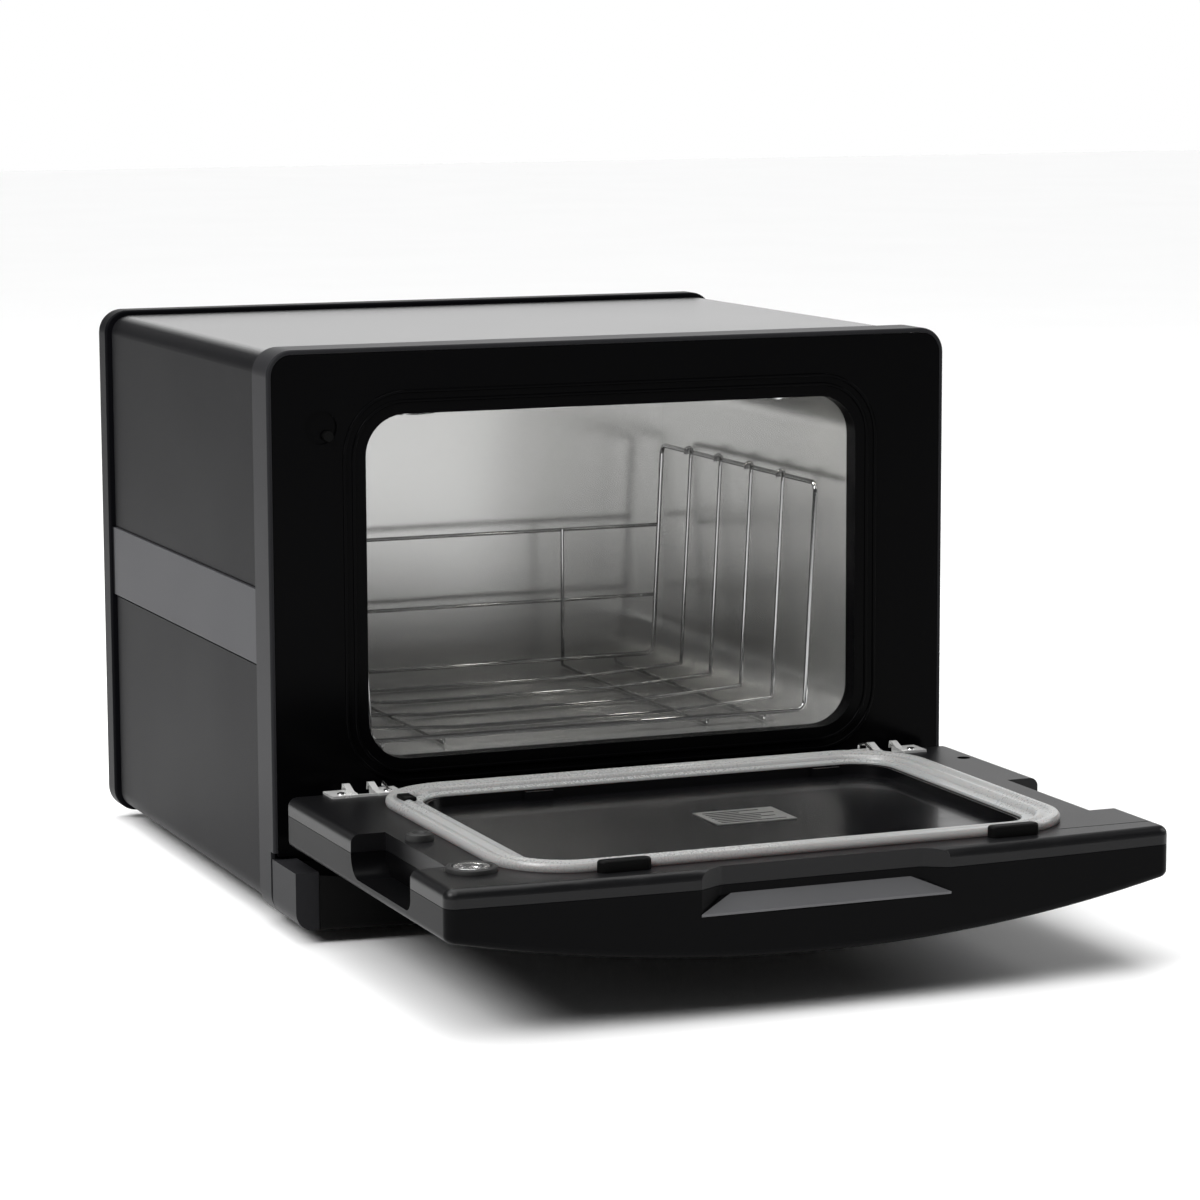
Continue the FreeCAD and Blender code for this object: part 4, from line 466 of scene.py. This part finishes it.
def along(bm, line, radius, sides=10):
    """A round wire: a circle that is extruded from point to point and turned with the line."""
    ways = [(b - a).normalized() for a, b in zip(line, line[1:])]
    ways = [ways[0]] + [(a + b).normalized() for a, b in zip(ways, ways[1:])] + [ways[-1]]
    turn = Vector((0, 0, 1)).rotation_difference(ways[0]).to_matrix().to_4x4()
    ring = bmesh.ops.create_circle(bm, cap_ends=True, segments=sides, radius=radius,
                                   matrix=Matrix.Translation(line[0]) @ turn)["verts"]
    for k in range(1, len(line)):
        edges = [e for e in bm.edges if e.verts[0] in ring and e.verts[1] in ring]
        grown = bmesh.ops.extrude_edge_only(bm, edges=edges)["geom"]
        ring = [g for g in grown if isinstance(g, bmesh.types.BMVert)]
        swing = ways[k - 1].rotation_difference(ways[k]).to_matrix()
        bmesh.ops.rotate(bm, verts=ring, cent=line[k - 1], matrix=swing)
        bmesh.ops.translate(bm, verts=ring, vec=line[k] - line[k - 1])
    bmesh.ops.contextual_create(bm, geom=[e for e in bm.edges
                                          if e.verts[0] in ring and e.verts[1] in ring])


def turned(bm, profile, centre, steps=48):
    """A turned piece: radius and height pairs spun round the vertical through centre."""
    centre = Vector(centre)
    dots = [bm.verts.new(centre + Vector((r, 0, h))) for r, h in profile]
    lines = [bm.edges.new(pair) for pair in zip(dots, dots[1:])]
    bmesh.ops.spin(bm, geom=dots + lines, cent=centre, axis=(0, 0, 1), angle=math.tau, steps=steps,
                   use_merge=True)


def block(bm, low, high, round_by=0.0, segments=3):
    """A block between two corners with rolled edges."""
    low, high = Vector(low), Vector(high)
    made = bmesh.ops.create_cube(bm, size=1.0)["verts"]
    bmesh.ops.scale(bm, verts=made, vec=high - low)
    bmesh.ops.translate(bm, verts=made, vec=(low + high) / 2)
    if round_by:
        edges = [e for e in bm.edges if e.verts[0] in made and e.verts[1] in made]
        bmesh.ops.bevel(bm, geom=edges, offset=round_by, segments=segments, profile=0.5,
                        affect="EDGES", material=-1)


print("shaping helpers ready")

# %% [markdown]
# ## The wire basket
# The real basket is one thick wire that goes up, back and down at each side, with thinner hoops that
# hang through a little in the floor and hook over the top wire. The hooks are what CAD left out. All
# wires are one piece, because they are welded; making each its own object would only add clutter.

# %% Basket
low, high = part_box("wire_basket")
bar, hoop, slim = 1.5 * MM, 1.2 * MM, 1.0 * MM
wall_in, height, sag = 2.0 * MM, 140 * MM, 4.2 * MM
middle_x = (low[0] + high[0]) / 2
top_x = (high[0] - low[0]) / 2 - bar
foot_x = top_x - 7 * MM
front_y, back_y = low[1] + wall_in, high[1] - wall_in
top_z = high[2] - wall_in
foot_z = top_z - height
basket = bmesh.new()
for side in (-1, 1):
    along(basket, bent([(middle_x, front_y, foot_z), (middle_x + side * foot_x, front_y, foot_z),
                        (middle_x + side * top_x, front_y, top_z),
                        (middle_x + side * top_x, back_y, top_z),
                        (middle_x + side * foot_x, back_y, foot_z), (middle_x, back_y, foot_z)],
                       6 * MM, 8), bar, 14)
hook = [(0.0, -4.0), (0.6, 1.6), (-1.0, 3.0), (-3.2, 2.2), (-3.6, -1.4)]
for k in range(1, 5):
    y = front_y + (back_y - front_y) * k / 5
    half_line = [(top_x + dx * MM, top_z + dz * MM) for dx, dz in reversed(hook)]
    half_line += [(foot_x, foot_z), (foot_x * 0.5, foot_z - sag)]
    route = [(middle_x + x, y, z) for x, z in half_line]
    route += [(middle_x - x, y, z) for x, z in reversed(half_line)]
    along(basket, bent(route, 0.8 * MM, 3), hoop, 10)
right_run, left_run, pair = foot_x - 27 * MM, 7.5 * MM - foot_x, 38.5 * MM
for x in (right_run, right_run - pair, left_run, left_run + pair):
    x += middle_x
    along(basket, bent([(x, front_y, foot_z), (x, front_y, foot_z - sag),
                        (x, back_y, foot_z - sag), (x, back_y, foot_z)], 1.6 * MM, 4), slim, 8)
low_rail, high_rail, upright = 39.7 * MM, 86.7 * MM, 87.5 * MM
for up in (low_rail, high_rail):
    x = foot_x + (top_x - foot_x) * up / height
    along(basket, [Vector((middle_x - x, back_y, foot_z + up)),
                   Vector((middle_x + x, back_y, foot_z + up))], hoop, 10)
for x in (right_run - pair, left_run + pair):
    along(basket, [Vector((middle_x + x, back_y - hoop, foot_z - hoop)),
                   Vector((middle_x + x, back_y - hoop, foot_z + upright))], hoop, 10)
finished("basket_wires", basket, chrome_wire, "basket", "chromed_wire", "wire_basket", sharp=60)

# %% [markdown]
# ## The door's seal
# The seal is one extrusion, bent round the pan: a fat outer rim, a shallow groove and a flat flange
# that reaches in to the pan. One outline is carried along the straights by extrusion and round the
# corners by spinning, the way the rubber itself is bent. Offsetting a CAD ring inwards would give
# the same path but none of the groove.


# %% Seal
def round_loop(bm, outline, half_x, near, far, radius, steps=14):
    """Carry an outline (distance in from the outer edge, height) round a rounded rectangle."""
    dots = [bm.verts.new((0.0, near - inward, height)) for inward, height in outline]
    lines = [bm.edges.new((dots[k], dots[(k + 1) % len(dots)])) for k in range(len(dots))]
    geom = dots + lines

    def onward(vec):
        grown = bmesh.ops.extrude_edge_only(
            bm, edges=[g for g in geom if isinstance(g, bmesh.types.BMEdge)])["geom"]
        keep = [g for g in grown if isinstance(g, bmesh.types.BMVert)]
        bmesh.ops.translate(bm, verts=keep, vec=vec)
        return keep + [g for g in grown if isinstance(g, bmesh.types.BMEdge)
                       and g.verts[0] in keep and g.verts[1] in keep]

    width, depth = 2 * half_x - 2 * radius, (near - far) - 2 * radius
    runs = [Vector((width / 2, 0, 0)), Vector((0, -depth, 0)), Vector((-width, 0, 0)),
            Vector((0, depth, 0)), Vector((width / 2, 0, 0))]
    corners = [(half_x - radius, near - radius), (half_x - radius, far + radius),
               (radius - half_x, far + radius), (radius - half_x, near - radius)]
    for k, run in enumerate(runs):
        geom = onward(run)
        if k < 4:
            geom = bmesh.ops.spin(bm, geom=geom, cent=(*corners[k], 0), axis=(0, 0, -1),
                                  angle=math.pi / 2, steps=steps)["geom_last"]


low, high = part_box("door_seal")
seal_outline = [(x * MM, low[2] + z * MM) for x, z in (
    (0.5, 0.0), (0.0, 1.2), (0.2, 3.2), (1.3, 4.6), (3.0, 5.0), (4.8, 4.7), (6.0, 3.9), (7.2, 3.3),
    (8.6, 3.5), (10.4, 4.3), (12.0, 4.5), (13.4, 4.0), (14.4, 2.8), (14.9, 1.7), (21.2, 1.5),
    (21.6, 0.9), (21.6, 0.0))]
seal = bmesh.new()
round_loop(seal, seal_outline, high[0], high[1], low[1], 45 * MM)
finished("seal_ring", seal, silicone, "door", "grey_silicone", "door_seal")

tab = bmesh.new()
block(tab, (low[0] + 9 * MM, high[1] - 44 * MM, high[2] - 2 * MM),
      (low[0] + 17 * MM, high[1] - 30 * MM, high[2] + 0.8 * MM), 1.2 * MM)
finished("seal_tab", tab, black_mould, "door", "black_plastic")

# %% [markdown]
# ## Strike, bumper and label
# The strike is a turned steel button in a rubber cup, and the bumper a turned stub with a soft edge.
# Spinning an outline gives both their dished tops, which two stacked cylinders wouldn't have. The
# label carries only bars of even tone, where a real one has its ratings.

# %% Strike, bumper and label
low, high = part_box("strike_ring")
centre = ((low[0] + high[0]) / 2, (low[1] + high[1]) / 2, low[2])
cup = bmesh.new()
turned(cup, [(10.5 * MM, 0.0), (10.5 * MM, 2.4 * MM), (11.0 * MM, 2.9 * MM), (12.6 * MM, 3.0 * MM),
             (13.6 * MM, 2.4 * MM), (14.0 * MM, 1.2 * MM), (14.0 * MM, 0.0)], centre)
finished("strike_cup", cup, rubber_black, "door", "black_rubber", "strike_ring")
button = bmesh.new()
turned(button, [(0.0, 1.4 * MM), (4.6 * MM, 1.5 * MM), (5.0 * MM, 0.9 * MM), (6.2 * MM, 0.9 * MM),
                (6.6 * MM, 2.5 * MM), (8.0 * MM, 2.9 * MM), (9.6 * MM, 2.7 * MM), (10.4 * MM, 1.8 * MM),
                (10.4 * MM, 0.0)], centre)
finished("strike_button", button, bright_steel, "door", "steel", "strike_plate")

low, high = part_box("door_bumper")
stub = bmesh.new()
turned(stub, [(0.0, 3.3 * MM), (3.4 * MM, 3.3 * MM), (4.2 * MM, 4.3 * MM), (6.2 * MM, 4.5 * MM),
              (7.4 * MM, 3.8 * MM), (7.8 * MM, 2.4 * MM), (7.8 * MM, 0.0)],
       ((low[0] + high[0]) / 2, (low[1] + high[1]) / 2, low[2]))
finished("bumper_stub", stub, rubber_black, "door", "black_rubber", "door_bumper")

low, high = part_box("label_plate")
bars = bmesh.new()
bar_pitch, bar_height = 4.4 * MM, 1.5 * MM
for k, reach in enumerate((0.90, 0.62, 0.84, 0.70, 0.90, 0.50, 0.78)):
    y = low[1] + 3.5 * MM + bar_pitch * k
    block(bars, (low[0] + 4 * MM, y, high[2] - 0.05 * MM),
          (low[0] + (high[0] - low[0]) * reach, y + bar_height, high[2] + 0.08 * MM))
finished("label_bars", bars, black_mould, "door", "black_plastic")

# %% [markdown]
# ## Hinge covers
# Where each hinge enters the door, folded bright steel covers it, and a thin wire spring comes out
# beside it. The cover is two strips with a slot between them, because the hinge's tongue comes up
# there when the door closes. A folded strip is a bent line that is extruded sideways and then given
# its thickness; bevelling its long edges keeps it from looking like cut card.

# %% Hinge covers
cover_half, slot_play, gauge = 9.5 * MM, 0.6 * MM, 0.9 * MM
for side, name in ((-1, "left"), (1, "right")):
    low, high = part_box("hinge_channel_" + name)
    middle = (low[0] + high[0]) / 2
    cover = bmesh.new()
    fold = [(low[1] + 2 * MM, high[2] + 0.4 * MM), (low[1] + 8.5 * MM, high[2] + 0.6 * MM),
            (high[1] - 1.0 * MM, high[2] + 3.6 * MM), (high[1] + 1.6 * MM, high[2] + 3.4 * MM),
            (high[1] + 2.4 * MM, high[2] - 1.0 * MM)]
    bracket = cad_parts["hinge_bracket_" + name].data
    tongue = [v.co.x for v in bracket.vertices if v.co.y < high[1]]
    wide = cover_half - (max(tongue) - min(tongue)) / 2 - slot_play
    for start in (middle - cover_half, middle + cover_half - wide):
        dots = [cover.verts.new((start, y, z)) for y, z in fold]
        lines = [cover.edges.new(pair) for pair in zip(dots, dots[1:])]
        grown = bmesh.ops.extrude_edge_only(cover, edges=lines)["geom"]
        bmesh.ops.translate(cover, verts=[g for g in grown if isinstance(g, bmesh.types.BMVert)],
                            vec=(wide, 0, 0))
    print("cover strip", round(wide / MM, 2), "mm wide")
    bmesh.ops.recalc_face_normals(cover, faces=cover.faces)
    bmesh.ops.solidify(cover, geom=list(cover.faces), thickness=gauge)
    across = [e for e in cover.edges if abs(e.verts[0].co.x - e.verts[1].co.x) > wide * 0.9]
    bmesh.ops.bevel(cover, geom=across, offset=0.3 * MM, segments=2, profile=0.5, affect="EDGES",
                    material=-1)
    finished("hinge_cover_" + name, cover, hinge_steel, "door", "hinge_steel")
    spring = bmesh.new()
    x = middle - side * 13.5 * MM
    along(spring, bent([(x, high[1] - 15 * MM, high[2] + 0.9 * MM),
                        (x, high[1] - 5 * MM, high[2] + 3.8 * MM),
                        (x - side * 1.5 * MM, high[1] + 1 * MM, high[2] + 2.8 * MM),
                        (x - side * 2.5 * MM, high[1] + 2.2 * MM, high[2] - 6 * MM)], 1.6 * MM, 4),
          0.8 * MM, 8)
    finished("hinge_spring_" + name, spring, bright_steel, "door", "hinge_steel")

# %% [markdown]
# ## Screws and lamp rims
# Small turned parts: a cross-headed screw is a dished disc with two crossed slots, here raised black
# bars that paint the shade inside the slots, and each lamp cover sits in a thin pressed rim.

# %% Screws and lamp rims
heads, slot_shade_bars = bmesh.new(), bmesh.new()
for side in ("left", "right"):
    low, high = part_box("hinge_channel_" + side)
    for x in (low[0] + 7.5 * MM, high[0] - 7.5 * MM):
        spot = (x, high[1] - 11.2 * MM, high[2] - 0.02 * MM)
        turned(heads, [(0.0, 0.9 * MM), (1.6 * MM, 0.85 * MM), (2.4 * MM, 0.5 * MM), (2.6 * MM, 0.0)],
               spot, 24)
        # Painted shade: raised black bars stand in for the shade in each screw's cross slot.
        for across_x, across_y in ((0.28 * MM, 1.5 * MM), (1.5 * MM, 0.28 * MM)):
            block(slot_shade_bars, (spot[0] - across_x, spot[1] - across_y, spot[2] + 0.8 * MM),
                  (spot[0] + across_x, spot[1] + across_y, spot[2] + 0.96 * MM))
finished("screw_heads", heads, bright_steel, "door", "steel", "hinge_screws")
finished("painted_slot_shade", slot_shade_bars, black_mould, "door", "black_plastic")

low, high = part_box("cavity_lamps")
rims = bmesh.new()
for x in (low[0] + 15 * MM, high[0] - 15 * MM):
    turned(rims, [(13.6 * MM, 0.0), (13.8 * MM, -0.9 * MM), (15.6 * MM, -0.9 * MM),
                  (16.4 * MM, 0.6 * MM), (16.4 * MM, 2.3 * MM)], (x, (low[1] + high[1]) / 2, low[2]))
finished("lamp_rims", rims, bright_steel, "oven_case", "stainless")

# %% [markdown]
# ## Done
# The view layer is brought up to date.

# %% Update the view layer
bpy.context.view_layer.update()
